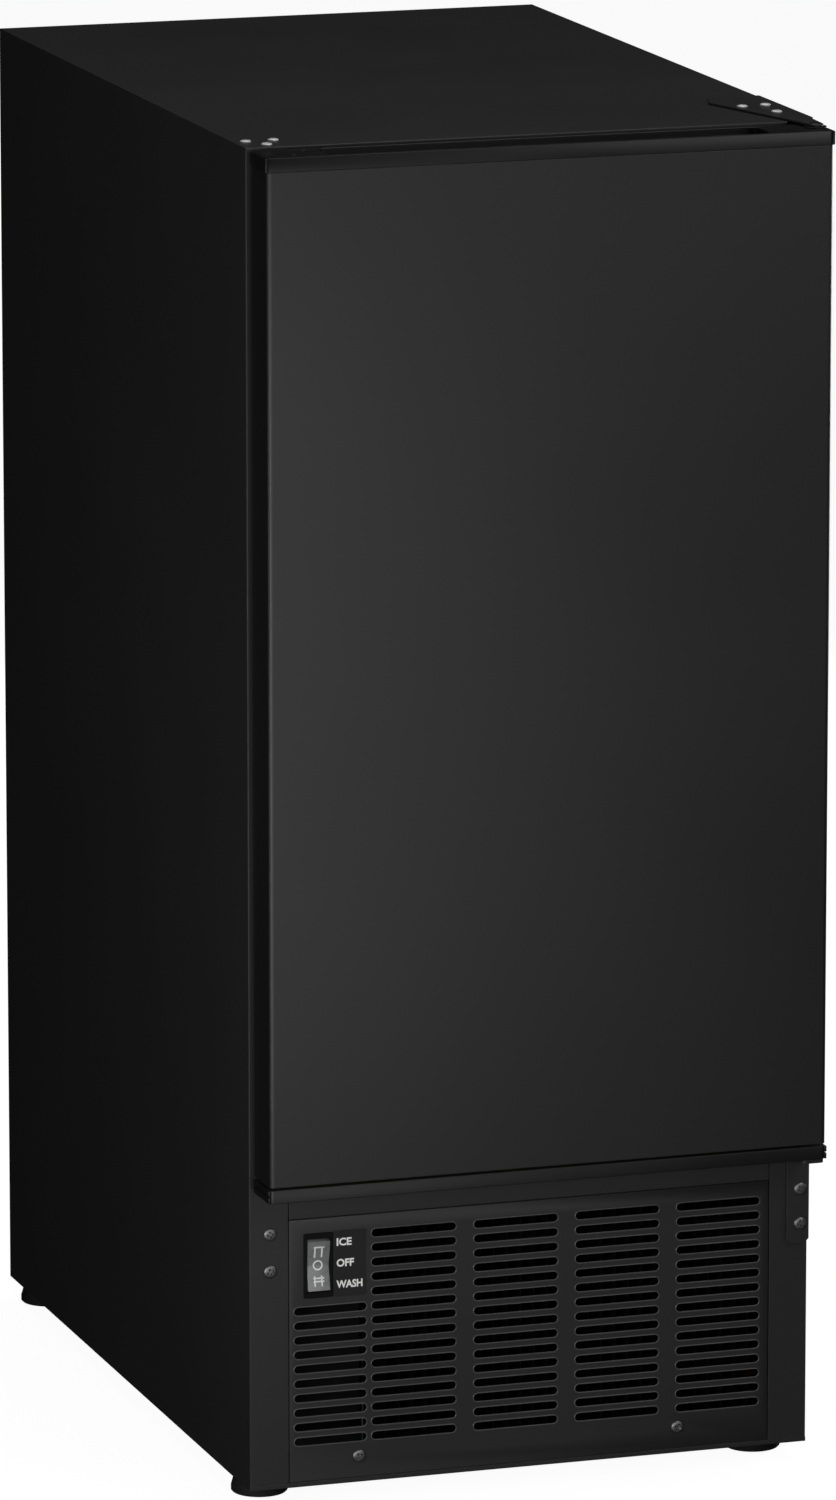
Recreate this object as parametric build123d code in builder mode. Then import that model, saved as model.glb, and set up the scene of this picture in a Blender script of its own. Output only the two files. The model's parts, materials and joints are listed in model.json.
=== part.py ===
from build123d import *
import math
import os

# Undercounter ice maker: an insulated cabinet with a louvred grille below a right-hinged door.
# Millimetres. X is to the right, -Y is the front, Z is up; the origin is at floor level, under
# the centre of the cabinet and door together.

os.makedirs("parts", exist_ok=True)

# ---------------------------------------------------------------- driving dimensions: cabinet
cabinet_width = 371.0
cabinet_depth = 548.0
cabinet_height = 848.0
foot_height = 16.0
sheet = 1.0
front_flange = 25.5
panel_gap = 0.5
rear_recess = 34.0
rail_bottom = 187.0
compartment_top = 229.0
foam_side = 33.5
foam_bottom = 20.0
foam_top = 35.0
foam_back = 40.0
liner_wall = 2.0

# ---------------------------------------------------------------- driving dimensions: door
door_depth = 33.0
door_gap = 5.0
door_inset = 2.0
door_bottom = 208.0
door_top_drop = 1.0
cap_height = 9.0
cap_seam = 1.2
door_skin = 1.0
door_liner_wall = 1.5
gasket_width = 11.0
gasket_inset = 11.5
gasket_clearance = 0.1

# ---------------------------------------------------------------- driving dimensions: hinges
hinge_edge = 8.5
hinge_pin_radius = 4.0
running_clearance = 0.05
seat_clearance = 0.1
bushing_wall = 1.9
bracket_thickness = 3.0
tab_gap = 1.3

# ---------------------------------------------------------------- driving dimensions: grille
slot_length = 55.2
slot_height = 4.0
slot_rows = 15
slot_row_pitch = 9.41
slot_first_row = 26.3
slot_columns = 4
slot_column_pitch = 67.6
slot_side_margin = 6.5
slot_left_margin = 3.5
short_slot_length = 47.0
short_slot_rows = 10

# ---------------------------------------------------------------- driving dimensions: switch
switch_inset = 19.0
switch_z = 156.1
bezel_width = 19.0
bezel_margin = 3.5
bezel_proud = 1.2
switch_body_depth = 25.0
rocker_width = 14.4
rocker_radius = 17.0
rocker_clearance = 0.4
bezel_height = 2 * (rocker_radius + rocker_clearance + bezel_margin)
label_width = 21.5
label_height = 42.6
label_thickness = 0.4

# ---------------------------------------------------------------- driving dimensions: feet, fan
foot_radius = 18.0
foot_top_radius = 15.0
foot_side_inset = 20.0
foot_front_inset = 45.0
foot_back_inset = 22.0
stud_radius = 4.0
fan_radius = 58.0
fan_hub_radius = 14.0
fan_shaft_radius = 3.0

# ---------------------------------------------------------------- places worked out from them
half_width = cabinet_width / 2
inner_x = half_width - sheet
back_y = (cabinet_depth + door_gap + door_depth) / 2
front_y = back_y - cabinet_depth
door_back_y = front_y - door_gap
door_front_y = door_back_y - door_depth
base_z = foot_height
top_z = foot_height + cabinet_height
flange_x = half_width - front_flange
panel_x = flange_x - panel_gap
sheet_back_y = front_y + sheet
service_y = back_y - rear_recess
base_plate = 1.5
pan_top = base_z + base_plate
switch_x = -panel_x + switch_inset
short_slot_x = -panel_x + slot_left_margin + short_slot_length / 2

liner_x = inner_x - foam_side
liner_back = back_y - sheet - foam_back
liner_bottom = compartment_top + foam_bottom
liner_top = top_z - sheet - foam_top
bin_x = liner_x - liner_wall
bin_back = liner_back - liner_wall
bin_floor = liner_bottom + liner_wall
bin_top = liner_top - liner_wall

door_x = half_width - door_inset
door_top = top_z - door_top_drop
panel_bottom = door_bottom + cap_height + cap_seam
panel_top = door_top - cap_height
hinge_x = half_width - hinge_edge
hinge_y = (door_front_y + door_back_y) / 2
bushing_radius = hinge_pin_radius + running_clearance + bushing_wall


def finish(part, label):
    """Label a finished piece and write it."""
    part.label = label
    export_step(part, f"parts/{label}.step")


def block(x, y, z, mode=Mode.ADD):
    """An upright box between the given pairs of low and high values, in the open part."""
    with Locations(((x[0] + x[1]) / 2, (y[0] + y[1]) / 2, (z[0] + z[1]) / 2)):
        Box(x[1] - x[0], y[1] - y[0], z[1] - z[0], mode=mode)


def rod(start, direction, radius, length, mode=Mode.ADD):
    """A round bar from start along direction, in the open part."""
    with Locations(Plane(origin=start, z_dir=direction).location):
        Cylinder(radius, length, align=(Align.CENTER, Align.CENTER, Align.MIN), mode=mode)


def pipe(points, radius, bends):
    """A round pipe along straight runs joined by tangent arcs, one bend radius for each corner."""
    start = Vector(*points[0])
    with BuildPart() as run:
        with BuildLine():
            FilletPolyline(*points, radius=bends)
        with BuildSketch(Plane(origin=start, z_dir=Vector(*points[1]) - start)):
            Circle(radius)
        sweep()
    return run.part


def pan_screw(head_radius, head_height, shank_radius, shank_length):
    """A pan-head screw: seat at the origin, head towards +Z, shank towards -Z, cross recess."""
    recess_width = head_radius * 0.28
    recess_length = head_radius * 1.1
    with BuildPart() as screw:
        with BuildSketch(Plane.XZ):
            with BuildLine():
                Line((0, -shank_length), (shank_radius, -shank_length))
                Line((shank_radius, -shank_length), (shank_radius, 0))
                Line((shank_radius, 0), (head_radius, 0))
                Line((head_radius, 0), (head_radius, head_height * 0.35))
                TangentArc((head_radius, head_height * 0.35), (0, head_height), tangent=(0, 1))
                Line((0, head_height), (0, -shank_length))
            make_face()
        revolve(axis=Axis.Z)
        with Locations((0, 0, head_height)):
            Box(recess_length, recess_width, head_height, mode=Mode.SUBTRACT)
            Box(recess_width, recess_length, head_height, mode=Mode.SUBTRACT)
    return screw.part


# ================================================================ cabinet shell
screw_head = 4.25
screw_head_height = 2.2
screw_shank = 2.0
screw_length = 7.0
screw_hole = screw_shank + seat_clearance

post_screw_spots = [(-half_width + 13.5, 178.5), (-half_width + 13.5, 154.5)]
bracket_screw_spots = [(half_width - 6.1, 180.5), (half_width - 6.1, 157.8)]
grille_screw_spots = [(-panel_x + 45.7, base_z + 14), (panel_x - 61.0, base_z + 14)]


def side_panel(side, spots):
    """A side sheet whose front edge is folded in as a flange. side is -1 for left, 1 for right."""
    outer = side * half_width
    inner = side * inner_x
    fold = side * flange_x
    with BuildPart() as panel:
        block(sorted((outer, inner)), (front_y, back_y), (base_z, top_z - sheet))
        block(sorted((inner, fold)), (front_y, sheet_back_y), (base_z, top_z - sheet))
        with Locations(*[(x, front_y, z) for x, z in spots]):
            Cylinder(screw_hole, 6 * sheet, rotation=(90, 0, 0), mode=Mode.SUBTRACT)
        corner = panel.edges().filter_by(Axis.Z).sort_by(Axis.Y)[:4].sort_by(Axis.X)
        fillet(corner[0] if side < 0 else corner[-1], sheet * 0.8)
    return panel.part


left_side_panel = side_panel(-1, post_screw_spots)
finish(left_side_panel, "left_side_panel")
right_side_panel = side_panel(1, bracket_screw_spots)
finish(right_side_panel, "right_side_panel")

top_flange = 26.0
top_screw_radius = 3.4
top_screw_head_height = 1.4
top_screw_shank = 1.8
top_screw_length = 8.0
spare_screw_spots = [(-half_width + x, y) for x, y in ((7.5, 24.0), (25.5, 25.0), (16.5, 9.0))]
hinge_screw_spots = [(half_width - x, y) for x, y in ((28.5, 56.0), (12.5, 58.0), (15.5, 29.0))]

with BuildPart() as top_panel:
    block((-half_width, half_width), (front_y, back_y), (top_z - sheet, top_z))
    block((-flange_x, flange_x), (front_y, sheet_back_y), (top_z - top_flange, top_z - sheet))
    with Locations(*[(x, front_y + y, top_z) for x, y in spare_screw_spots + hinge_screw_spots]):
        Cylinder(top_screw_shank + seat_clearance, 6 * sheet, mode=Mode.SUBTRACT)
    fillet(top_panel.edges().filter_by(Axis.X).group_by(Axis.Z)[-1].sort_by(Axis.Y)[0], sheet * 0.8)
finish(top_panel.part, "top_panel")

with BuildPart() as rear_panel:
    block((-inner_x, inner_x), (back_y - sheet, back_y), (compartment_top, top_z - sheet))
finish(rear_panel.part, "rear_panel")

lip_height = 20.0
foot_spots = [
    (side * (half_width - foot_side_inset), y)
    for y in (front_y + foot_front_inset, back_y - foot_back_inset)
    for side in (-1, 1)
]
nut_radius = 9.0
nut_height = 8.0

with BuildPart() as base_pan:
    block((-inner_x, inner_x), (sheet_back_y, back_y), (base_z, pan_top))
    block((-flange_x, flange_x), (sheet_back_y, sheet_back_y + sheet), (pan_top, base_z + lip_height))
    with BuildSketch(Plane.XY.offset(pan_top)):
        with Locations(*foot_spots):
            RegularPolygon(nut_radius, 6)
    extrude(amount=nut_height)
    with Locations(*[(x, y, base_z) for x, y in foot_spots]):
        Cylinder(stud_radius + seat_clearance, 4 * nut_height, mode=Mode.SUBTRACT)
    with Locations(*[(x, sheet_back_y, z) for x, z in grille_screw_spots]):
        Cylinder(screw_hole, 4 * sheet, rotation=(90, 0, 0), mode=Mode.SUBTRACT)
finish(base_pan.part, "base_pan")

inlet_x = -inner_x + 56.5
inlet_z = 117.0
inlet_radius = 13.2
drain_x = -60.0
drain_z = 60.0
drain_radius = 8.0
power_x = inner_x - 64.5
power_z = 60.0
power_width = 28.0
power_height = 20.0
stub_collar = 2.0
louvre_width = 60.0
louvre_height = 4.0
louvre_rows = 6
louvre_pitch = 11.0

with BuildPart() as rear_service_panel:
    block((-inner_x, inner_x), (service_y, service_y + sheet), (pan_top, compartment_top))
    with BuildSketch(Plane.XZ.offset(-service_y)):
        with Locations((inlet_x, inlet_z)):
            Circle(inlet_radius + seat_clearance)
        with Locations((drain_x, drain_z)):
            Circle(drain_radius + seat_clearance)
        with Locations((power_x, power_z)):
            Rectangle(power_width + 2 * seat_clearance, power_height + 2 * seat_clearance)
        with Locations((0, compartment_top - 60)):
            with GridLocations(louvre_width * 1.5, louvre_pitch, 3, louvre_rows):
                SlotOverall(louvre_width, louvre_height)
    extrude(amount=sheet * 2, both=True, mode=Mode.SUBTRACT)
finish(rear_service_panel.part, "rear_service_panel")

rail_return = 14.0
with BuildPart() as front_rail:
    block((-panel_x, panel_x), (front_y, sheet_back_y), (rail_bottom, compartment_top))
    block((-panel_x, panel_x), (sheet_back_y, sheet_back_y + rail_return), (rail_bottom, rail_bottom + sheet))
    block(
        (-panel_x, panel_x),
        (sheet_back_y, sheet_back_y + rail_return),
        (compartment_top - sheet, compartment_top),
    )
finish(front_rail.part, "front_rail")

# ================================================================ grille
switch_body_width = bezel_width - 2.0
switch_body_height = bezel_height - 4.0
slot_right = panel_x - slot_side_margin
grille_top = rail_bottom - panel_gap

with BuildPart() as grille_panel:
    block((-panel_x, panel_x), (front_y, sheet_back_y), (base_z, grille_top))
    block(
        (-panel_x, panel_x),
        (sheet_back_y, sheet_back_y + rail_return / 2),
        (grille_top - sheet, grille_top),
    )
    with BuildSketch(Plane.XZ.offset(-front_y)):
        for row in range(slot_rows):
            z = base_z + slot_first_row + row * slot_row_pitch
            for column in range(slot_columns):
                with Locations((slot_right - slot_length / 2 - column * slot_column_pitch, z)):
                    SlotOverall(slot_length, slot_height)
            if row < short_slot_rows:
                with Locations((short_slot_x, z)):
                    SlotOverall(short_slot_length, slot_height)
        with Locations((switch_x, switch_z)):
            Rectangle(switch_body_width + 2 * seat_clearance, switch_body_height + 2 * seat_clearance)
        with Locations(*grille_screw_spots):
            Circle(screw_hole)
    extrude(amount=2 * sheet, both=True, mode=Mode.SUBTRACT)
finish(grille_panel.part, "grille_panel")

# ================================================================ insulation and liner
drain_hole_radius = 11.0
floor_drain_y = bin_back - 100.0
sleeve_radius = 15.0
line_y = bin_back - 18.0
sleeve_spots = [(-bin_x + 25.0, line_y), (bin_x - 49.0, line_y)]

with BuildPart() as cabinet_insulation:
    block((-inner_x, inner_x), (sheet_back_y, back_y - sheet), (compartment_top, top_z - sheet))
    block((-liner_x, liner_x), (sheet_back_y, liner_back), (liner_bottom, liner_top), mode=Mode.SUBTRACT)
    with Locations((drain_x, floor_drain_y, compartment_top)):
        Cylinder(drain_hole_radius, 4 * foam_bottom, mode=Mode.SUBTRACT)
    with Locations(*[(x, y, compartment_top) for x, y in sleeve_spots]):
        Cylinder(sleeve_radius, 4 * foam_bottom, mode=Mode.SUBTRACT)
    with Locations(*[(x, front_y + y, top_z) for x, y in spare_screw_spots + hinge_screw_spots]):
        Cylinder(top_screw_shank + seat_clearance, 3 * top_screw_length, mode=Mode.SUBTRACT)
finish(cabinet_insulation.part, "cabinet_insulation")

liner_corner = 8.0
with BuildPart() as cabinet_liner:
    block((-liner_x, liner_x), (sheet_back_y, liner_back), (liner_bottom, liner_top))
    block((-panel_x, panel_x), (front_y, sheet_back_y), (compartment_top, top_z - top_flange))
    with BuildSketch(Plane.XZ.offset(-bin_back)):
        with Locations((0, (bin_floor + bin_top) / 2)):
            RectangleRounded(2 * bin_x, bin_top - bin_floor, liner_corner)
    extrude(amount=bin_back - front_y + sheet, mode=Mode.SUBTRACT)
    with Locations((drain_x, floor_drain_y, liner_bottom)):
        Cylinder(drain_hole_radius, 4 * liner_wall, mode=Mode.SUBTRACT)
    with Locations(*[(x, y, liner_bottom) for x, y in sleeve_spots]):
        Cylinder(sleeve_radius, 4 * liner_wall, mode=Mode.SUBTRACT)
finish(cabinet_liner.part, "cabinet_liner")

# ================================================================ hinges
bracket_reach = 9.0
lower_bracket_width = 15.0
lower_bracket_bottom = 144.5
tab_top = door_bottom - tab_gap
tab_bottom = tab_top - bracket_thickness
bracket_left = half_width - lower_bracket_width
bracket_chamfer = 3.0

with BuildPart() as lower_hinge_bracket:
    block(
        (bracket_left, half_width),
        (front_y - bracket_thickness, front_y),
        (lower_bracket_bottom, tab_top),
    )
    block(
        (bracket_left, half_width),
        (hinge_y - bracket_reach, front_y - bracket_thickness),
        (tab_bottom, tab_top),
    )
    chamfer(
        lower_hinge_bracket.edges().filter_by(Axis.Y).group_by(Axis.Z)[0],
        bracket_chamfer,
    )
    fillet(
        lower_hinge_bracket.edges().filter_by(Axis.Z).group_by(Axis.Y)[0],
        bracket_chamfer,
    )
    with Locations(*[(x, front_y, z) for x, z in bracket_screw_spots]):
        Cylinder(screw_hole, 6 * bracket_thickness, rotation=(90, 0, 0), mode=Mode.SUBTRACT)
    with Locations((hinge_x, hinge_y, tab_top)):
        Cylinder(hinge_pin_radius, 4 * bracket_thickness, mode=Mode.SUBTRACT)
finish(lower_hinge_bracket.part, "lower_hinge_bracket")

top_bracket_length = 100.0
top_bracket_tip = (half_width - 42.5, 80.0)
top_bracket_waist = (hinge_x - bracket_reach, 4.0)

with BuildPart() as top_hinge_bracket:
    with BuildSketch(Plane(origin=(0, front_y, top_z))):
        with BuildLine():
            Polyline(
                top_bracket_tip,
                (top_bracket_tip[0] + 7, top_bracket_length),
                (half_width - 0.5, top_bracket_length),
                (half_width - 0.5, hinge_y - bracket_reach - front_y),
                (hinge_x - bracket_reach, hinge_y - bracket_reach - front_y),
                top_bracket_waist,
                close=True,
            )
        make_face()
        fillet(vertices(), 2.0)
        with Locations(*hinge_screw_spots):
            Circle(top_screw_shank + seat_clearance, mode=Mode.SUBTRACT)
        with Locations((hinge_x, hinge_y - front_y)):
            Circle(hinge_pin_radius, mode=Mode.SUBTRACT)
    extrude(amount=bracket_thickness)
finish(top_hinge_bracket.part, "top_hinge_bracket")

pin_head_radius = 5.5
pin_head_height = 1.5
pin_depth = 8.0
boss_bore = bushing_radius + seat_clearance

with BuildPart() as hinge_pins:
    rod((hinge_x, hinge_y, door_top - pin_depth), (0, 0, 1), hinge_pin_radius,
        top_z + bracket_thickness - door_top + pin_depth)
    rod((hinge_x, hinge_y, top_z + bracket_thickness), (0, 0, 1), pin_head_radius, pin_head_height)
    rod((hinge_x, hinge_y, tab_bottom), (0, 0, 1), hinge_pin_radius,
        door_bottom - tab_bottom + pin_depth - 1)
finish(hinge_pins.part, "hinge_pins")

front_screw = pan_screw(screw_head, screw_head_height, screw_shank, screw_length)
bracket_face = Plane.XZ.offset(bracket_thickness - front_y)
front_face = Plane.XZ.offset(-front_y)
with BuildPart() as front_screws:
    with Locations(*[front_face.from_local_coords((x, z, 0)) for x, z in post_screw_spots]):
        add(front_screw, rotation=(90, 0, 0))
    with Locations(*[front_face.from_local_coords((x, z, 0)) for x, z in grille_screw_spots]):
        add(front_screw, rotation=(90, 0, 0))
    with Locations(*[bracket_face.from_local_coords((x, z, 0)) for x, z in bracket_screw_spots]):
        add(front_screw, rotation=(90, 0, 0))
finish(front_screws.part, "front_screws")

top_screw = pan_screw(top_screw_radius, top_screw_head_height, top_screw_shank, top_screw_length)
with BuildPart() as top_screws:
    with Locations(*[(x, front_y + y, top_z) for x, y in spare_screw_spots]):
        add(top_screw)
    with Locations(*[(x, front_y + y, top_z + bracket_thickness) for x, y in hinge_screw_spots]):
        add(top_screw)
finish(top_screws.part, "top_screws")

# ================================================================ switch
pivot_drop = 3.0
rocker_front = 6.0
rocker_middle = 2.6
rocker_back = 6.0
trunnion_radius = 1.5
trunnion_length = 1.4
housing_floor = 2.0
pivot_y = front_y + pivot_drop
cavity_width = rocker_width + 2 * rocker_clearance
cavity_height = 2 * (rocker_radius + rocker_clearance)
front_plane = Plane.XZ.offset(-front_y)
switch_back = front_y + switch_body_depth

with BuildPart() as switch_housing:
    with BuildSketch(front_plane):
        with Locations((switch_x, switch_z)):
            RectangleRounded(bezel_width, bezel_height, 1.0)
    extrude(amount=bezel_proud)
    fillet(switch_housing.edges().group_by(Axis.Y)[0], bezel_proud * 0.4)
    block(
        (switch_x - switch_body_width / 2, switch_x + switch_body_width / 2),
        (front_y, switch_back),
        (switch_z - switch_body_height / 2, switch_z + switch_body_height / 2),
    )
    block(
        (switch_x - cavity_width / 2, switch_x + cavity_width / 2),
        (front_y - bezel_proud, switch_back - housing_floor),
        (switch_z - cavity_height / 2, switch_z + cavity_height / 2),
        mode=Mode.SUBTRACT,
    )
    with Locations((switch_x, pivot_y, switch_z)):
        Cylinder(
            trunnion_radius + running_clearance,
            rocker_width + 2 * trunnion_length + 4 * running_clearance,
            rotation=(0, 90, 0),
            mode=Mode.SUBTRACT,
        )
finish(switch_housing.part, "switch_housing")

with BuildPart() as rocker:
    with BuildSketch(Plane(origin=(switch_x - rocker_width / 2, pivot_y, switch_z), x_dir=(0, 0, 1),
                           z_dir=(1, 0, 0))):
        front_reach = math.sqrt(rocker_radius**2 - rocker_front**2)
        back_reach = math.sqrt(rocker_radius**2 - rocker_back**2)
        with BuildLine():
            Polyline((-front_reach, rocker_front), (0, rocker_middle), (front_reach, rocker_front))
            ThreePointArc((front_reach, rocker_front), (rocker_radius, 0), (back_reach, -rocker_back))
            Line((back_reach, -rocker_back), (-back_reach, -rocker_back))
            ThreePointArc((-back_reach, -rocker_back), (-rocker_radius, 0), (-front_reach, rocker_front))
        make_face()
    extrude(amount=rocker_width)
    with Locations((switch_x, pivot_y, switch_z)):
        Cylinder(trunnion_radius, rocker_width + 2 * trunnion_length, rotation=(0, 90, 0))
finish(rocker.part, "rocker")

label_x = switch_x + bezel_width / 2 + 0.4 + label_width / 2
with BuildPart() as switch_label:
    with BuildSketch(front_plane):
        with Locations((label_x, switch_z)):
            RectangleRounded(label_width, label_height, 0.8)
    extrude(amount=label_thickness)
finish(switch_label.part, "switch_label")

# ================================================================ refrigeration machinery
compressor_x = inner_x - 89.5
compressor_y = service_y - 101.0
compressor_long = 75.0
compressor_short = 56.0
compressor_height = 155.0
mount_width = 160.0
mount_depth = 136.0
mount_plate = 3.0
grommet_radius = 9.0
grommet_height = 9.5
grommet_inset = 13.0
grommet_reach_x = mount_width / 2 - grommet_inset
grommet_reach_y = mount_depth / 2 - grommet_inset
grommet_spots = [
    (compressor_x + sx * grommet_reach_x, compressor_y + sy * grommet_reach_y)
    for sx in (-1, 1)
    for sy in (-1, 1)
]
mount_z = pan_top + grommet_height
shell_z = mount_z + mount_plate

with BuildPart() as compressor:
    with BuildSketch(Plane.XY.offset(shell_z)):
        with Locations((compressor_x, compressor_y)):
            Ellipse(compressor_long, compressor_short)
    extrude(amount=compressor_height)
    fillet(compressor.edges().group_by(Axis.Z)[-1], compressor_short * 0.62)
    with BuildSketch(Plane.XY.offset(mount_z)):
        with Locations((compressor_x, compressor_y)):
            RectangleRounded(mount_width, mount_depth, grommet_inset)
        with Locations(*grommet_spots):
            Circle(grommet_radius * 0.5, mode=Mode.SUBTRACT)
    extrude(amount=mount_plate)
    with BuildSketch(Plane.XY.offset(shell_z + compressor_height * 0.48)):
        with Locations((compressor_x, compressor_y)):
            Ellipse(compressor_long + 3, compressor_short + 3)
    extrude(amount=4)
finish(compressor.part, "compressor")

with BuildPart() as compressor_grommets:
    with Locations(*[(x, y, pan_top) for x, y in grommet_spots]):
        Cylinder(grommet_radius, grommet_height, align=(Align.CENTER, Align.CENTER, Align.MIN))
    with Locations(*[(x, y, mount_z) for x, y in grommet_spots]):
        Cylinder(
            grommet_radius * 0.5 - seat_clearance,
            mount_plate + 2,
            align=(Align.CENTER, Align.CENTER, Align.MIN),
        )
finish(compressor_grommets.part, "compressor_grommets")

coil_left = -inner_x + 92.5
coil_right = inner_x - 32.5
coil_bottom = pan_top
coil_top = pan_top + 154.5
coil_front_y = front_y + 15.0
coil_depth = 44.0
coil_fins = 28
coil_fin = 1.0
coil_tube_rows = 5
coil_tube_radius = 4.0
coil_back_y = coil_front_y + coil_depth
coil_mid_y = (coil_front_y + coil_back_y) / 2

with BuildPart() as condenser:
    for index in range(coil_fins):
        x = coil_left + index * (coil_right - coil_left - coil_fin) / (coil_fins - 1)
        block((x, x + coil_fin), (coil_front_y, coil_back_y), (coil_bottom, coil_top))
    for row in range(coil_tube_rows):
        z = coil_bottom + (row + 0.5) * (coil_top - coil_bottom) / coil_tube_rows
        for y in (coil_mid_y - coil_depth / 4, coil_mid_y + coil_depth / 4):
            rod((coil_left, y, z), (1, 0, 0), coil_tube_radius, coil_right - coil_left)
finish(condenser.part, "condenser")

shroud_sheet = 2.0
shroud_gap = 1.0
shroud_ring = 26.0
fan_gap = 5.0
shroud_y = coil_back_y + shroud_gap
fan_x = (coil_left + coil_right) / 2
fan_z = (coil_bottom + coil_top) / 2

with BuildPart() as fan_shroud:
    block(
        (coil_left, coil_right),
        (shroud_y, shroud_y + shroud_sheet),
        (pan_top, coil_top),
    )
    rod((fan_x, shroud_y, fan_z), (0, 1, 0), fan_radius + fan_gap + shroud_sheet, shroud_ring)
    rod((fan_x, shroud_y - 1, fan_z), (0, 1, 0), fan_radius + fan_gap, shroud_ring + 2, mode=Mode.SUBTRACT)
finish(fan_shroud.part, "fan_shroud")

blade_count = 5
blade_chord = 40.0
blade_pitch = 32.0
blade_thickness = 1.6
hub_depth = 18.0
fan_front_y = shroud_y + 4.0
motor_y = fan_front_y + hub_depth + 16.0
motor_radius = 24.0
motor_length = 44.0
shaft_embed = 12.0

with BuildPart() as fan_blade:
    rod((fan_x, fan_front_y, fan_z), (0, 1, 0), fan_hub_radius, hub_depth)
    for index in range(blade_count):
        angle = 360 / blade_count * index
        outward = Vector(math.cos(math.radians(angle)), 0, math.sin(math.radians(angle)))
        hub_centre = Vector(fan_x, fan_front_y + hub_depth / 2, fan_z)
        across = Vector(0, 1, 0) * math.cos(math.radians(blade_pitch))
        across += Vector(0, 1, 0).cross(outward) * math.sin(math.radians(blade_pitch))
        tilted = Plane(origin=hub_centre + outward * (fan_hub_radius - 3), x_dir=across, z_dir=outward)
        with BuildSketch(tilted):
            Rectangle(blade_thickness, blade_chord * 0.55)
        with BuildSketch(tilted.offset(fan_radius - fan_hub_radius + 2)):
            Rectangle(blade_thickness, blade_chord * 0.8)
        loft()
    rod((fan_x, fan_front_y, fan_z), (0, 1, 0), fan_shaft_radius, motor_y - fan_front_y + shaft_embed)
finish(fan_blade.part, "fan_blade")

with BuildPart() as fan_motor:
    rod((fan_x, motor_y, fan_z), (0, 1, 0), motor_radius, motor_length)
    fillet(fan_motor.edges().filter_by(GeomType.CIRCLE), 3)
    rod((fan_x, motor_y, fan_z), (0, 1, 0), fan_shaft_radius + running_clearance, shaft_embed + 2,
        mode=Mode.SUBTRACT)
finish(fan_motor.part, "fan_motor")

support_width = 64.0
support_foot = 30.0
support_plate = 2.5
support_y = motor_y + motor_length / 2
with BuildPart() as fan_motor_bracket:
    block(
        (fan_x - support_width / 2, fan_x + support_width / 2),
        (support_y, support_y + support_plate),
        (pan_top, fan_z + support_width / 2),
    )
    block(
        (fan_x - support_width / 2, fan_x + support_width / 2),
        (support_y + support_plate, support_y + support_foot),
        (pan_top, pan_top + support_plate),
    )
    rod((fan_x, support_y - 1, fan_z), (0, 1, 0), motor_radius, support_plate + 2, mode=Mode.SUBTRACT)
finish(fan_motor_bracket.part, "fan_motor_bracket")

line_radius = 3.0
drier_radius = 10.0
drier_y = -20.0
drier_z = 50.0
drier_left = fan_x - 60.0
drier_right = fan_x + 30.0
drier_cone = 12.0

with BuildPart() as filter_drier:
    rod((drier_left + drier_cone, drier_y, drier_z), (1, 0, 0), drier_radius,
        drier_right - drier_left - 2 * drier_cone)
    for x, towards in ((drier_left + drier_cone, -1), (drier_right - drier_cone, 1)):
        with BuildSketch(Plane(origin=(x, drier_y, drier_z), z_dir=(towards, 0, 0))):
            Circle(drier_radius)
        with BuildSketch(Plane(origin=(x + towards * drier_cone, drier_y, drier_z), z_dir=(towards, 0, 0))):
            Circle(line_radius + 1)
        loft()
finish(filter_drier.part, "filter_drier")

bend = 12.0
outlet_z = 120.0
lane_x = inner_x - 12.0
compressor_front = compressor_y - compressor_short
discharge = pipe(
    [
        (compressor_x, compressor_front, outlet_z),
        (compressor_x, compressor_front - 50, outlet_z),
        (lane_x, compressor_front - 50, outlet_z),
        (lane_x, coil_mid_y, outlet_z),
        (coil_right, coil_mid_y, outlet_z),
    ],
    line_radius,
    [bend, bend, bend],
)
finish(discharge, "discharge_line")

return_z = 50.0
riser_x = sleeve_spots[0][0] - 7.0
supply_x = sleeve_spots[0][0] + 6.0
riser_turn_y = line_y - 42.0
cell_count = 9
cell_pitch = 19.4
plate_size = 180.0
plate_left = -bin_x + 39.0
plate_right = plate_left + plate_size
plate_back_y = bin_back - 110.0
plate_front_y = plate_back_y - 20.0
plate_top = bin_top - 46.0
plate_bottom = plate_top - plate_size
serpentine_radius = 4.0
serpentine_y = plate_back_y + serpentine_radius + 0.2
serpentine_runs = 7
serpentine_bottom = plate_bottom + 15.0
serpentine_pitch = 25.0
serpentine_inset = 15.0
serpentine_top = serpentine_bottom + (serpentine_runs - 1) * serpentine_pitch

condensate_out = pipe(
    [
        (coil_right, coil_mid_y, return_z),
        (lane_x - 6, coil_mid_y, return_z),
        (lane_x - 6, drier_y, return_z),
        (drier_right, drier_y, return_z),
    ],
    line_radius,
    [bend, bend],
)
evaporator_feed = pipe(
    [
        (drier_left, drier_y, drier_z),
        (riser_x, drier_y, drier_z),
        (riser_x, riser_turn_y, drier_z),
        (riser_x, riser_turn_y, 200),
        (riser_x, line_y, 200),
        (riser_x, line_y, serpentine_bottom),
        (riser_x, serpentine_y, serpentine_bottom),
        (plate_left + serpentine_inset, serpentine_y, serpentine_bottom),
    ],
    line_radius,
    [bend] * 6,
)
with BuildPart() as liquid_lines:
    add(condensate_out)
    add(evaporator_feed)
finish(liquid_lines.part, "liquid_lines")

suction_x = sleeve_spots[1][0]
compressor_top = shell_z + compressor_height
with BuildPart() as suction_line:
    add(
        pipe(
            [
                (plate_right - serpentine_inset, serpentine_y, serpentine_top),
                (suction_x, serpentine_y, serpentine_top),
                (suction_x, line_y, serpentine_top),
                (suction_x, line_y, compressor_top + 18),
                (suction_x, compressor_y, compressor_top + 18),
                (suction_x, compressor_y, compressor_top),
            ],
            serpentine_radius,
            [bend] * 4,
        )
    )
finish(suction_line.part, "suction_line")

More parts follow.
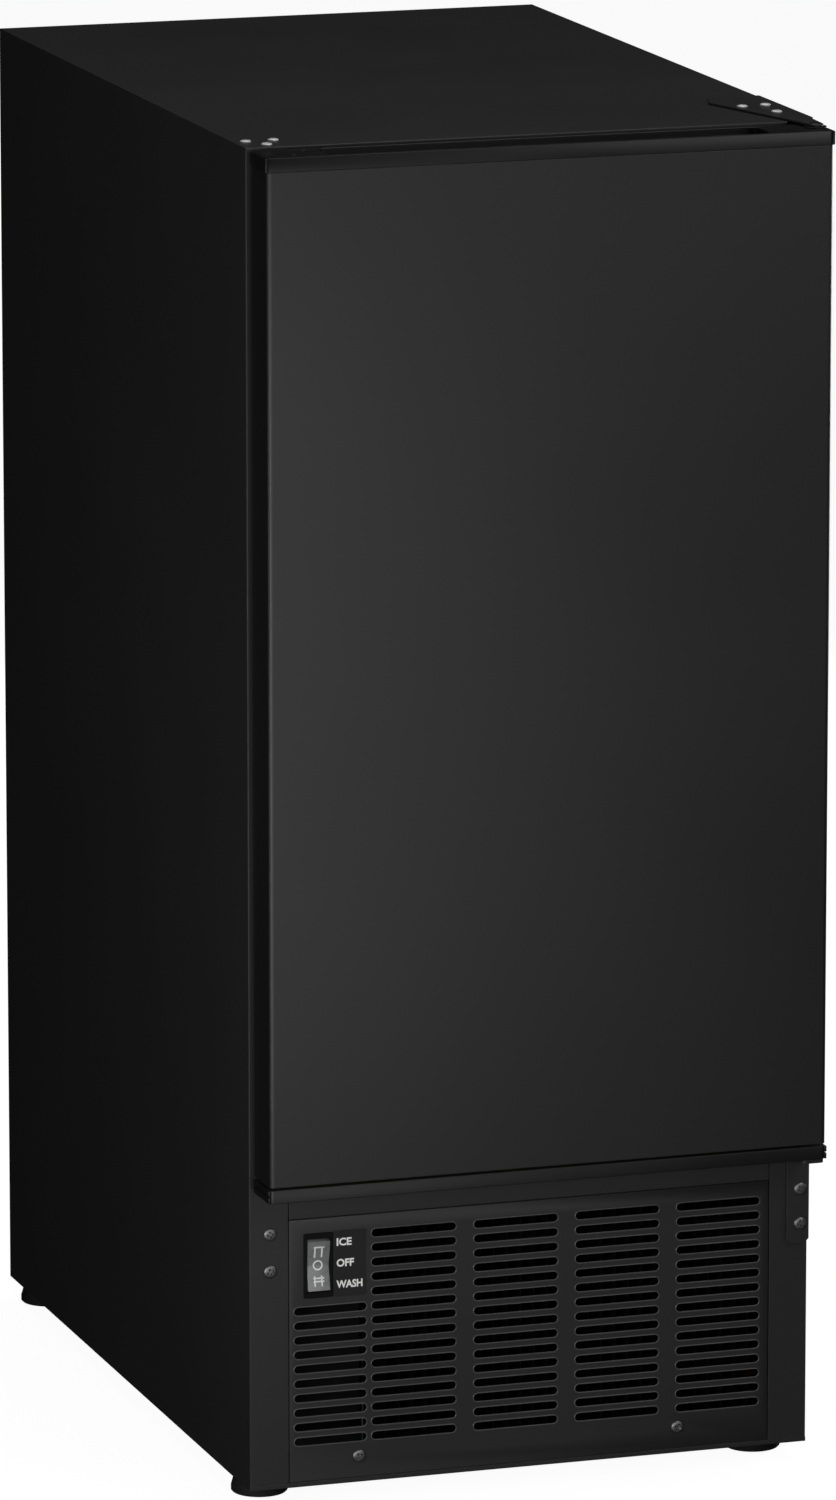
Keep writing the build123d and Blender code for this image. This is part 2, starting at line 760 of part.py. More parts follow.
with BuildPart() as line_sleeves:
    for x, y in sleeve_spots:
        rod((x, y, compartment_top), (0, 0, 1), sleeve_radius, bin_floor - compartment_top)
        rod((x, y, bin_floor), (0, 0, 1), sleeve_radius + 2, 2)
    for x, radius in ((riser_x, line_radius), (supply_x, line_radius), (suction_x, serpentine_radius)):
        with Locations((x, line_y, compartment_top)):
            Cylinder(radius + seat_clearance, 8 * foam_bottom, mode=Mode.SUBTRACT)
finish(line_sleeves.part, "line_sleeves")

valve_x = compressor_x - 75.0
valve_y = compressor_front - 52.0
valve_z = 150.0
valve_body = 14.0
with BuildPart() as hot_gas_valve:
    rod((valve_x - valve_body, valve_y, valve_z), (1, 0, 0), 7, 2 * valve_body)
    rod((valve_x, valve_y, valve_z), (0, 0, 1), 6, 44)
    block((valve_x - 13, valve_x + 13), (valve_y - 14, valve_y + 14), (valve_z + 10, valve_z + 36))
    fillet(hot_gas_valve.edges().filter_by(Axis.Z).filter_by(GeomType.LINE), 2)
finish(hot_gas_valve.part, "hot_gas_valve")

hot_gas_offset = 20.0
hot_gas_x = compressor_x - hot_gas_offset
hot_gas_y = compressor_y - compressor_short * math.sqrt(1 - (hot_gas_offset / compressor_long) ** 2) - 0.7
with BuildPart() as hot_gas_lines:
    add(
        pipe(
            [
                (hot_gas_x, hot_gas_y, valve_z),
                (hot_gas_x, valve_y, valve_z),
                (valve_x + valve_body, valve_y, valve_z),
            ],
            line_radius,
            [bend],
        )
    )
    add(
        pipe(
            [
                (valve_x - valve_body, valve_y, valve_z),
                (inlet_x + 20, valve_y, valve_z),
                (inlet_x + 20, riser_turn_y, valve_z),
                (riser_x + line_radius, riser_turn_y, valve_z),
            ],
            line_radius,
            [bend, bend],
        )
    )
finish(hot_gas_lines.part, "hot_gas_lines")

# ================================================================ water and electrics
valve_width = 30.0
valve_depth = 34.0
with BuildPart() as water_inlet_valve:
    block(
        (inlet_x - valve_width / 2, inlet_x + valve_width / 2),
        (service_y - valve_depth, service_y - 3),
        (inlet_z - 16, inlet_z + 16),
    )
    fillet(water_inlet_valve.edges().filter_by(Axis.Y), 4)
    block((inlet_x - 19, inlet_x + 19), (service_y - 3, service_y), (inlet_z - 20, inlet_z + 20))
    rod((inlet_x, service_y, inlet_z), (0, 1, 0), inlet_radius, 20)
    chamfer(water_inlet_valve.edges().group_by(Axis.Y)[-1], 1)
    rod((inlet_x, service_y + sheet, inlet_z), (0, 1, 0), inlet_radius + 2, stub_collar)
    rod((inlet_x, service_y + 4, inlet_z), (0, 1, 0), 8, 17, mode=Mode.SUBTRACT)
    rod((supply_x, line_y, inlet_z + 16), (0, 0, 1), 6, 6)
finish(water_inlet_valve.part, "water_inlet_valve")

trough_left = plate_left - 8.0
trough_right = plate_right + 72.0
trough_front = plate_front_y - 22.0
trough_back = plate_back_y + 38.0
trough_top = plate_bottom - 34.0
trough_bottom = trough_top - 46.0
trough_wall = 2.5
pump_x = plate_right + 45.0
pump_y = plate_back_y - 5.0
impeller_radius = 13.0
casing_radius = 17.0
casing_bottom = trough_bottom + 4
casing_height = 16.0
motor_bottom = plate_bottom
motor_can = 22.0
motor_can_height = 56.0
pump_column = 7.0
pump_shaft = 2.5
feed_y = pump_y + 28.0
distributor_front = plate_front_y - 14.0
distributor_back = plate_back_y + 2.0
distributor_low = plate_top + 6.0
distributor_high = distributor_low + 14.0
distributor_z = (distributor_low + distributor_high) / 2
spill_x = plate_left + 6.0
spill_z = plate_bottom - 24.0

with BuildPart() as water_tubes:
    add(
        pipe(
            [
                (supply_x, line_y, inlet_z + 22),
                (supply_x, line_y, spill_z),
                (supply_x, feed_y, spill_z),
                (spill_x, feed_y, spill_z),
                (spill_x, feed_y, spill_z - 20),
            ],
            line_radius,
            [bend, 8, 8],
        )
    )
    add(
        pipe(
            [
                (pump_x, pump_y + casing_radius, casing_bottom + 8),
                (pump_x, feed_y, casing_bottom + 8),
                (pump_x, feed_y, distributor_z),
                (pump_x, (distributor_front + distributor_back) / 2, distributor_z),
                (plate_right + 5, (distributor_front + distributor_back) / 2, distributor_z),
            ],
            line_radius,
            [5, bend, bend],
        )
    )
finish(water_tubes.part, "water_tubes")

box_left = -inner_x
box_right = box_left + 80.5
box_front = front_y + 29.0
box_back = front_y + 160.0
box_bottom = 50.0
box_top = 190.0
box_sheet = 1.0
with BuildPart() as control_box:
    block((box_left, box_right), (box_front, box_back), (box_bottom, box_top))
    block(
        (box_left + box_sheet, box_right + box_sheet),
        (box_front + box_sheet, box_back - box_sheet),
        (box_bottom + box_sheet, box_top - box_sheet),
        mode=Mode.SUBTRACT,
    )
    block(
        (box_left + box_sheet, box_left + box_sheet + 18),
        (box_front + 20, box_back - 20),
        (box_bottom + 20, box_top - 20),
    )
    block((box_right - box_sheet, box_right), (box_front + box_sheet, box_back - box_sheet),
          (box_bottom + box_sheet, box_top - box_sheet))
finish(control_box.part, "control_box")

drain_stub = 16.0
with BuildPart() as drain_fittings:
    rod((drain_x, floor_drain_y, bin_floor), (0, 0, 1), drain_hole_radius + 8, 1.5)
    rod((drain_x, floor_drain_y, compartment_top - 14), (0, 0, 1), drain_hole_radius - seat_clearance,
        bin_floor - compartment_top + 14)
    rod((drain_x, floor_drain_y, compartment_top - 15), (0, 0, 1), drain_hole_radius - 3,
        bin_floor - compartment_top + 20, mode=Mode.SUBTRACT)
    rod((drain_x, service_y - drain_stub, drain_z), (0, 1, 0), drain_radius - 0.5, drain_stub)
    rod((drain_x, service_y - 3, drain_z), (0, 1, 0), drain_radius + 5, 3)
    rod((drain_x, service_y, drain_z), (0, 1, 0), drain_radius, 28)
    rod((drain_x, service_y + sheet, drain_z), (0, 1, 0), drain_radius + 3, stub_collar)
    rod((drain_x, service_y - 20, drain_z), (0, 1, 0), drain_radius - 2, 60, mode=Mode.SUBTRACT)
finish(drain_fittings.part, "drain_fittings")

hose_bend = 36.0
with BuildPart() as drain_hose:
    add(
        pipe(
            [
                (drain_x, floor_drain_y, compartment_top - 14),
                (drain_x, floor_drain_y, drain_z),
                (drain_x, service_y - drain_stub, drain_z),
            ],
            drain_radius + 1,
            [hose_bend],
        )
    )
finish(drain_hose.part, "drain_hose")

with BuildPart() as power_inlet:
    block(
        (power_x - power_width / 2, power_x + power_width / 2),
        (service_y - 14, service_y + 2),
        (power_z - power_height / 2, power_z + power_height / 2),
    )
    block(
        (power_x - power_width / 2 + 2, power_x + power_width / 2 - 2),
        (service_y - 11, service_y + 2),
        (power_z - power_height / 2 + 2, power_z + power_height / 2 - 2),
        mode=Mode.SUBTRACT,
    )
    with BuildSketch(Plane.XZ.offset(-service_y - sheet)):
        with Locations((power_x, power_z)):
            RectangleRounded(power_width + 18, power_height + 4, 3)
            Rectangle(power_width - 4, power_height - 4, mode=Mode.SUBTRACT)
    extrude(amount=-2)
    for dx, dz in ((-7, -2), (0, 2), (7, -2)):
        block(
            (power_x + dx - 1, power_x + dx + 1),
            (service_y - 12, service_y),
            (power_z + dz - 2, power_z + dz + 2),
        )
finish(power_inlet.part, "power_inlet")

# ================================================================ ice making module
cell_size = 16.0
cell_depth = 14.0
plate_x = (plate_left + plate_right) / 2
plate_z = (plate_bottom + plate_top) / 2

with BuildPart() as evaporator_plate:
    block((plate_left, plate_right), (plate_front_y, plate_back_y), (plate_bottom, plate_top))
    with BuildSketch(Plane(origin=(plate_x, plate_front_y, plate_z), x_dir=(1, 0, 0), z_dir=(0, -1, 0))):
        with GridLocations(cell_pitch, cell_pitch, cell_count, cell_count):
            Rectangle(cell_size, cell_size)
    extrude(amount=-cell_depth, taper=8, mode=Mode.SUBTRACT)
finish(evaporator_plate.part, "evaporator_plate")

with BuildPart() as evaporator_coil:
    left = plate_left + serpentine_inset
    right = plate_right - serpentine_inset
    turn = serpentine_pitch / 2
    with BuildLine():
        for run in range(serpentine_runs):
            z = serpentine_bottom + run * serpentine_pitch
            near, far = (left, right) if run % 2 == 0 else (right, left)
            first = near if run == 0 else near + math.copysign(turn, far - near)
            last = far if run == serpentine_runs - 1 else far - math.copysign(turn, far - near)
            Line((first, serpentine_y, z), (last, serpentine_y, z))
            if run < serpentine_runs - 1:
                middle = last + math.copysign(turn, far - near)
                ThreePointArc(
                    (last, serpentine_y, z),
                    (middle, serpentine_y, z + turn),
                    (last, serpentine_y, z + serpentine_pitch),
                )
    with BuildSketch(Plane(origin=(left, serpentine_y, serpentine_bottom), z_dir=(1, 0, 0))):
        Circle(serpentine_radius)
    sweep()
finish(evaporator_coil.part, "evaporator_coil")

frame_wall = 4.0
frame_left = plate_left - 11.0
frame_right = plate_right + 11.0
frame_front = plate_front_y - 50.0
frame_back = plate_back_y + 14.0
frame_bottom = plate_bottom - 14.0
frame_top = plate_top + 32.0
curtain_y = plate_front_y - 23.0
curtain_z = plate_top + 24.0
curtain_pin_radius = 2.5
line_hole = serpentine_radius + 1.5

with BuildPart() as evaporator_frame:
    for low, high in ((frame_left - frame_wall, frame_left), (frame_right, frame_right + frame_wall)):
        block((low, high), (frame_front, frame_back), (frame_bottom, frame_top))
    block((frame_left, frame_right), (frame_back - frame_wall, frame_back), (frame_bottom, frame_top))
    for x, low, high in (
        (plate_left, frame_left, plate_left),
        (plate_right, plate_right, frame_right),
    ):
        block((low, high), (plate_front_y + 2, plate_back_y), (plate_bottom, plate_bottom + 30))
        block((low, high), (plate_front_y + 2, plate_back_y), (plate_top - 30, plate_top))
    for x in (frame_left - frame_wall / 2, frame_right + frame_wall / 2):
        with Locations((x, curtain_y, curtain_z)):
            Cylinder(curtain_pin_radius + 2 * running_clearance, 3 * frame_wall, rotation=(0, 90, 0),
                     mode=Mode.SUBTRACT)
    with Locations(
        (frame_left, serpentine_y, serpentine_bottom), (frame_right, serpentine_y, serpentine_top)
    ):
        Cylinder(line_hole, 4 * frame_wall, rotation=(0, 90, 0), mode=Mode.SUBTRACT)
    block((frame_right - 1, frame_right + frame_wall + 1), (distributor_front + 10, distributor_back - 10),
          (distributor_z - 5, distributor_z + 5), mode=Mode.SUBTRACT)
finish(evaporator_frame.part, "evaporator_frame")

with BuildPart() as water_distributor:
    block(
        (plate_left - 5, plate_right + 5),
        (distributor_front, distributor_back),
        (distributor_low, distributor_high),
    )
    fillet(water_distributor.edges().filter_by(Axis.X), 4)
    with BuildSketch(Plane.XY.offset(distributor_low)):
        with Locations((plate_x, plate_front_y - 2)):
            with GridLocations(cell_pitch, 1, cell_count, 1):
                Circle(1.5)
    extrude(amount=6, mode=Mode.SUBTRACT)
finish(water_distributor.part, "water_distributor")

curtain_clearance = 2.5
curtain_thickness = 2.4
curtain_drop = 196.0
curtain_left = frame_left + curtain_clearance
curtain_right = frame_right - curtain_clearance
curtain_face = curtain_y - 7.0
curtain_ribs = 11
rib_width = 2.0

with BuildPart() as splash_curtain:
    rod((curtain_left, curtain_y, curtain_z), (1, 0, 0), 4.5, curtain_right - curtain_left)
    rod((frame_left - frame_wall, curtain_y, curtain_z), (1, 0, 0), curtain_pin_radius,
        frame_right - frame_left + 2 * frame_wall)
    block(
        (curtain_left, curtain_right),
        (curtain_face, curtain_face + curtain_thickness),
        (curtain_z - curtain_drop, curtain_z + 2),
    )
    block((curtain_left, curtain_right), (curtain_face, curtain_y), (curtain_z - 1.2, curtain_z + 1.2))
    for index in range(curtain_ribs):
        x = curtain_left + (index + 0.5) * (curtain_right - curtain_left) / curtain_ribs
        block(
            (x - rib_width / 2, x + rib_width / 2),
            (curtain_face - 2, curtain_face),
            (curtain_z - curtain_drop + 6, curtain_z - 8),
        )
finish(splash_curtain.part, "splash_curtain")

with BuildPart() as water_trough:
    block((trough_left, trough_right), (trough_front, trough_back), (trough_bottom, trough_top))
    fillet(water_trough.edges().filter_by(Axis.X).group_by(Axis.Z)[0], 8)
    offset(amount=-trough_wall, openings=water_trough.faces().sort_by(Axis.Z)[-1])
finish(water_trough.part, "water_trough")

with BuildPart() as pump_body:
    rod((pump_x, pump_y, casing_bottom), (0, 0, 1), casing_radius, casing_height)
    rod((pump_x, pump_y, casing_bottom + casing_height), (0, 0, 1), pump_column,
        motor_bottom - casing_bottom - casing_height)
    rod((pump_x, pump_y, motor_bottom), (0, 0, 1), motor_can, motor_can_height)
    fillet(pump_body.edges().group_by(Axis.Z)[-1], 4)
    rod((pump_x, pump_y, casing_bottom), (0, 0, 1), casing_radius - 2, casing_height - 2, mode=Mode.SUBTRACT)
    rod((pump_x, pump_y, casing_bottom), (0, 0, 1), pump_shaft + running_clearance,
        motor_bottom - casing_bottom + motor_can_height / 2, mode=Mode.SUBTRACT)
finish(pump_body.part, "pump_body")

impeller_vanes = 6
with BuildPart() as pump_rotor:
    rod((pump_x, pump_y, casing_bottom + 2), (0, 0, 1), pump_shaft,
        motor_bottom - casing_bottom + motor_can_height / 2 - 4)
    rod((pump_x, pump_y, casing_bottom + 2), (0, 0, 1), impeller_radius, 2)
    with BuildSketch(Plane.XY.offset(casing_bottom + 4)):
        with Locations((pump_x, pump_y)):
            with PolarLocations(impeller_radius / 2, impeller_vanes):
                Rectangle(impeller_radius - 1, 1.5)
    extrude(amount=6)
finish(pump_rotor.part, "pump_rotor")

shelf_thickness = 3.0
with BuildPart() as module_brackets:
    for x in (plate_left + 22, plate_right - 22):
        block((x, x + 4), (frame_back, bin_back), (plate_z + 10, plate_z + 30))
        block((x, x + 4), (trough_back, bin_back), (trough_bottom + 12, trough_top - 8))
    block(
        (frame_right + frame_wall, pump_x + motor_can + 3),
        (pump_y - motor_can, pump_y + motor_can),
        (motor_bottom - shelf_thickness, motor_bottom),
    )
    with Locations((pump_x, pump_y, motor_bottom)):
        Cylinder(pump_column + seat_clearance, 4 * shelf_thickness, mode=Mode.SUBTRACT)
finish(module_brackets.part, "module_brackets")

sensor_x = -bin_x + 7.0
sensor_y = -60.0
sensor_high = plate_bottom - 10.0
sensor_low = sensor_high - 160.0
sensor_radius = 3.5
with BuildPart() as bin_sensor:
    rod((sensor_x, sensor_y, sensor_low), (0, 0, 1), sensor_radius, sensor_high - sensor_low)
    for z in (sensor_low + 20, sensor_high - 20):
        block((-bin_x, sensor_x), (sensor_y - 6, sensor_y + 6), (z - 5, z + 5))
finish(bin_sensor.part, "bin_sensor")

# ================================================================ door
door_corner = 3.0
cap_rim = 2.6
cap_pocket = 4.5
boss_radius = 9.0
skin_back_y = door_back_y - door_liner_wall
bushing_spots = [(hinge_x, hinge_y)]
plug_spots = [(-hinge_x, hinge_y)]


def door_outline(inset):
    """The door's plan outline with its front corners rounded, pulled in by inset on every side."""
    side = door_x - inset
    front = door_front_y + inset
    radius = max(door_corner - inset, 0.5)
    with BuildSketch() as outline:
        with Locations((0, (front + door_back_y - inset) / 2)):
            Rectangle(2 * side, door_back_y - inset - front)
        fillet(outline.vertices().group_by(Axis.Y)[0], radius)
    return outline.sketch


with BuildPart() as door_panel:
    with BuildSketch(Plane.XY.offset(panel_bottom)):
        add(door_outline(0))
    extrude(amount=panel_top - panel_bottom)
    block(
        (-door_x + door_skin, door_x - door_skin),
        (door_front_y + door_skin, door_back_y + 1),
        (panel_bottom, panel_top),
        mode=Mode.SUBTRACT,
    )
finish(door_panel.part, "door_panel")

with BuildPart() as door_top_cap:
    with BuildSketch(Plane.XY.offset(panel_top)):
        add(door_outline(0))
    extrude(amount=cap_height)
    with BuildSketch(Plane.XY.offset(door_top)):
        with Locations((0, hinge_y)):
            Rectangle(2 * (door_x - cap_rim), door_depth - 2 * cap_rim)
        with Locations(*bushing_spots, *plug_spots):
            Circle(boss_radius, mode=Mode.SUBTRACT)
    extrude(amount=-cap_pocket, mode=Mode.SUBTRACT)
    with Locations(*[(x, y, door_top) for x, y in bushing_spots + plug_spots]):
        Cylinder(boss_bore, 4 * cap_height, mode=Mode.SUBTRACT)
finish(door_top_cap.part, "door_top_cap")

with BuildPart() as door_bottom_cap:
    with BuildSketch(Plane.XY.offset(door_bottom)):
        add(door_outline(0))
    extrude(amount=cap_height)
    with BuildSketch(Plane.XY.offset(door_bottom + cap_height)):
        add(door_outline(2 * door_skin))
    extrude(amount=cap_seam)
    with Locations(*[(x, y, door_bottom) for x, y in bushing_spots + plug_spots]):
        Cylinder(boss_bore, 4 * cap_height, mode=Mode.SUBTRACT)
finish(door_bottom_cap.part, "door_bottom_cap")

with BuildPart() as door_insulation:
    block(
        (-door_x + door_skin, door_x - door_skin),
        (door_front_y + door_skin, skin_back_y),
        (panel_bottom, panel_top),
    )
finish(door_insulation.part, "door_insulation")

gasket_x = half_width - gasket_inset - sheet
gasket_low = panel_bottom + 4
gasket_high = panel_top - 4
dyke_inset = gasket_width + 3.0
dyke_height = 3.0
gasket_front_y = door_back_y

with BuildPart() as door_liner:
    block((-door_x + door_skin, door_x - door_skin), (skin_back_y, door_back_y), (panel_bottom, panel_top))
    with BuildSketch(Plane.XZ.offset(-door_back_y)):
        with Locations((0, (gasket_low + gasket_high) / 2)):
            RectangleRounded(
                2 * (gasket_x - dyke_inset), gasket_high - gasket_low - 2 * dyke_inset, liner_corner
            )
    extrude(amount=-dyke_height)
finish(door_liner.part, "door_liner")

with BuildPart() as door_gasket:
    with BuildSketch(Plane.XZ.offset(-gasket_front_y)):
        with Locations((0, (gasket_low + gasket_high) / 2)):
            Rectangle(2 * gasket_x, gasket_high - gasket_low)
            Rectangle(
                2 * (gasket_x - gasket_width), gasket_high - gasket_low - 2 * gasket_width, mode=Mode.SUBTRACT
            )
    extrude(amount=-(door_gap - gasket_clearance))
finish(door_gasket.part, "door_gasket")

bushing_flange = 0.8
bushing_rim = 1.2
with BuildPart() as door_bushings:
    for low, flange_low in ((panel_top, door_top), (door_bottom, door_bottom - bushing_flange)):
        for x, y in bushing_spots:
            rod((x, y, low), (0, 0, 1), bushing_radius, cap_height)
            rod((x, y, flange_low), (0, 0, 1), bushing_radius + bushing_rim, bushing_flange)
            rod((x, y, low - 2), (0, 0, 1), hinge_pin_radius + running_clearance, cap_height + 4,
                mode=Mode.SUBTRACT)
finish(door_bushings.part, "door_bushings")

with BuildPart() as door_hole_plugs:
    for x, y in plug_spots:
        rod((x, y, door_top - cap_height + 1), (0, 0, 1), boss_bore - seat_clearance, cap_height - 1)
        rod((x, y, door_bottom), (0, 0, 1), boss_bore - seat_clearance, cap_height - 1)
finish(door_hole_plugs.part, "door_hole_plugs")

# ================================================================ feet
stud_top = 38.0
foot_gap = 0.3
foot_names = ["foot_front_left", "foot_front_right", "foot_rear_left", "foot_rear_right"]
for name, (x, y) in zip(foot_names, foot_spots):
    with BuildPart() as foot:
        with BuildSketch(Plane(origin=(x, y, 0), x_dir=(1, 0, 0), z_dir=(0, -1, 0))):
            with BuildLine():
                Polyline((0, 0), (foot_radius - 1, 0), (foot_radius, 1), (foot_radius, 4))
                Polyline((foot_radius, 4), (foot_top_radius, foot_height - foot_gap - 1),
                         (foot_top_radius - 1, foot_height - foot_gap), (0, foot_height - foot_gap), (0, 0))
            make_face()
        revolve(axis=Axis((x, y, 0), (0, 0, 1)))
        rod((x, y, 0), (0, 0, 1), stud_radius, stud_top)
    finish(foot.part, name)
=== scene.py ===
import json
import math

import bmesh
import bpy
from mathutils import Matrix, Vector
from mathutils.geometry import tessellate_polygon


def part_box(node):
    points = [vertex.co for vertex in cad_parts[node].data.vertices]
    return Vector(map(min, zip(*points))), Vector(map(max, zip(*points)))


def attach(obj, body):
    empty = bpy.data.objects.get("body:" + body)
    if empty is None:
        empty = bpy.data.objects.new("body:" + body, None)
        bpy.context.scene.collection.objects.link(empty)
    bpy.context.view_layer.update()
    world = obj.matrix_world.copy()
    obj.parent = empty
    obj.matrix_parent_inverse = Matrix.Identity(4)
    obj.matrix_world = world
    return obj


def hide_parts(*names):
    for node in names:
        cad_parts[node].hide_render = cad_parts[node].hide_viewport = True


# Looks of an undercounter ice maker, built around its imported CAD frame. Metres; lengths written in
# millimetres are multiplied by MM.

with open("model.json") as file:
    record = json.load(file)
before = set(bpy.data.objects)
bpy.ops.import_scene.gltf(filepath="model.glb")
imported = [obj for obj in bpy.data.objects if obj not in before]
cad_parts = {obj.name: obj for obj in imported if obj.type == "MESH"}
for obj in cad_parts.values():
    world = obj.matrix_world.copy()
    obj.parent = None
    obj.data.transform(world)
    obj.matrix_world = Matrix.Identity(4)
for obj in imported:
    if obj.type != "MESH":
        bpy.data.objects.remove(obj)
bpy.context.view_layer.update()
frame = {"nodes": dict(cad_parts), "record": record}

MM = 0.001
scene = bpy.context.scene
nodes = frame["nodes"]


# ---------------------------------------------------------------- materials
def add_node(tree, kind, settings=None, **values):
    """A shader node with its settings and unlinked input values set."""
    made = tree.nodes.new(kind)
    for key, value in (settings or {}).items():
        setattr(made, key, value)
    for key, value in values.items():
        made.inputs[key.replace("_", " ")].default_value = value
    return made


def noise(tree, coordinates, scale, stretch=(1, 1, 1), detail=3.0, rough=0.55):
    """Noise with scale features per metre along each axis, before stretching."""
    mapping = add_node(tree, "ShaderNodeMapping", Scale=[scale * s for s in stretch])
    tree.links.new(coordinates, mapping.inputs["Vector"])
    made = add_node(tree, "ShaderNodeTexNoise", Scale=1.0, Detail=detail, Roughness=rough)
    tree.links.new(mapping.outputs["Vector"], made.inputs["Vector"])
    return made.outputs["Fac"]


def spread(tree, source, low, high, from_low=0.3, from_high=0.7):
    """source remapped so that its usual range covers low to high."""
    made = add_node(tree, "ShaderNodeMapRange")
    for key, value in (
        ("From Min", from_low), ("From Max", from_high), ("To Min", low), ("To Max", high)
    ):
        made.inputs[key].default_value = value
    tree.links.new(source, made.inputs["Value"])
    return made.outputs["Result"]


def tinted(tree, factor, first, second):
    """A colour between first and second."""
    made = add_node(tree, "ShaderNodeMix", {"data_type": "RGBA"})
    tree.links.new(factor, made.inputs["Factor"])
    for key, value in ((6, first), (7, second)):
        if isinstance(value, tuple):
            made.inputs[key].default_value = (*value, 1.0)
        else:
            tree.links.new(value, made.inputs[key])
    return made.outputs[2]


def finish(
    name, colour, roughness, metallic=0.0, specular=0.5, mottle=0.12, mottle_scale=7.0,
    grain=900.0, grain_height=0.02, stretch=(1, 1, 1), rough_change=0.06, wear=None,
    wear_share=0.5, edge=0.5, coat=0.0, transmission=0.0, spangle=0.0,
):
    """A procedural finish: mottled colour, fine grain, uneven roughness and rubbed edges."""
    material = bpy.data.materials.new(name)
    material.use_nodes = True
    tree = material.node_tree
    shader = tree.nodes["Principled BSDF"]
    place = add_node(tree, "ShaderNodeTexCoord").outputs["Object"]
    cloud = noise(tree, place, mottle_scale, detail=5.0)
    fine = noise(tree, place, grain, stretch)
    dark = tuple(c * (1 - mottle) for c in colour)
    light = tuple(c * (1 + mottle) for c in colour)
    shade = tinted(tree, spread(tree, cloud, 0.0, 1.0), dark, light)
    if spangle:
        cells = add_node(tree, "ShaderNodeTexVoronoi", Scale=spangle)
        tree.links.new(place, cells.inputs["Vector"])
        grey = add_node(tree, "ShaderNodeSeparateColor")
        tree.links.new(cells.outputs["Color"], grey.inputs["Color"])
        flake = spread(tree, grey.outputs["Red"], 0.0, 1.0, 0.0, 1.0)
        shade = tinted(tree, flake, tuple(c * 0.78 for c in colour), shade)
    rounded = add_node(tree, "ShaderNodeBevel", {"samples": 4}, Radius=edge * MM)
    if wear:
        flat = add_node(tree, "ShaderNodeNewGeometry")
        along = add_node(tree, "ShaderNodeVectorMath", {"operation": "DOT_PRODUCT"})
        tree.links.new(rounded.outputs["Normal"], along.inputs[0])
        tree.links.new(flat.outputs["Normal"], along.inputs[1])
        rim = spread(tree, along.outputs["Value"], 1.0, 0.0, 0.86, 0.995)
        patch = spread(tree, noise(tree, place, 160.0, detail=4.0), 0.0, wear_share, 0.42, 0.66)
        rubbed = add_node(tree, "ShaderNodeMath", {"operation": "MULTIPLY"})
        tree.links.new(rim, rubbed.inputs[0])
        tree.links.new(patch, rubbed.inputs[1])
        shade = tinted(tree, rubbed.outputs["Value"], shade, wear)
    tree.links.new(shade, shader.inputs["Base Color"])
    polish = spread(tree, cloud, roughness - rough_change, roughness + rough_change)
    tree.links.new(polish, shader.inputs["Roughness"])
    bump = add_node(tree, "ShaderNodeBump", Strength=1.0, Distance=grain_height * MM)
    tree.links.new(fine, bump.inputs["Height"])
    tree.links.new(rounded.outputs["Normal"], bump.inputs["Normal"])
    tree.links.new(bump.outputs["Normal"], shader.inputs["Normal"])
    for key, value in (
        ("Metallic", metallic), ("Specular IOR Level", specular), ("Coat Weight", coat),
        ("Transmission Weight", transmission),
    ):
        shader.inputs[key].default_value = value
    return material


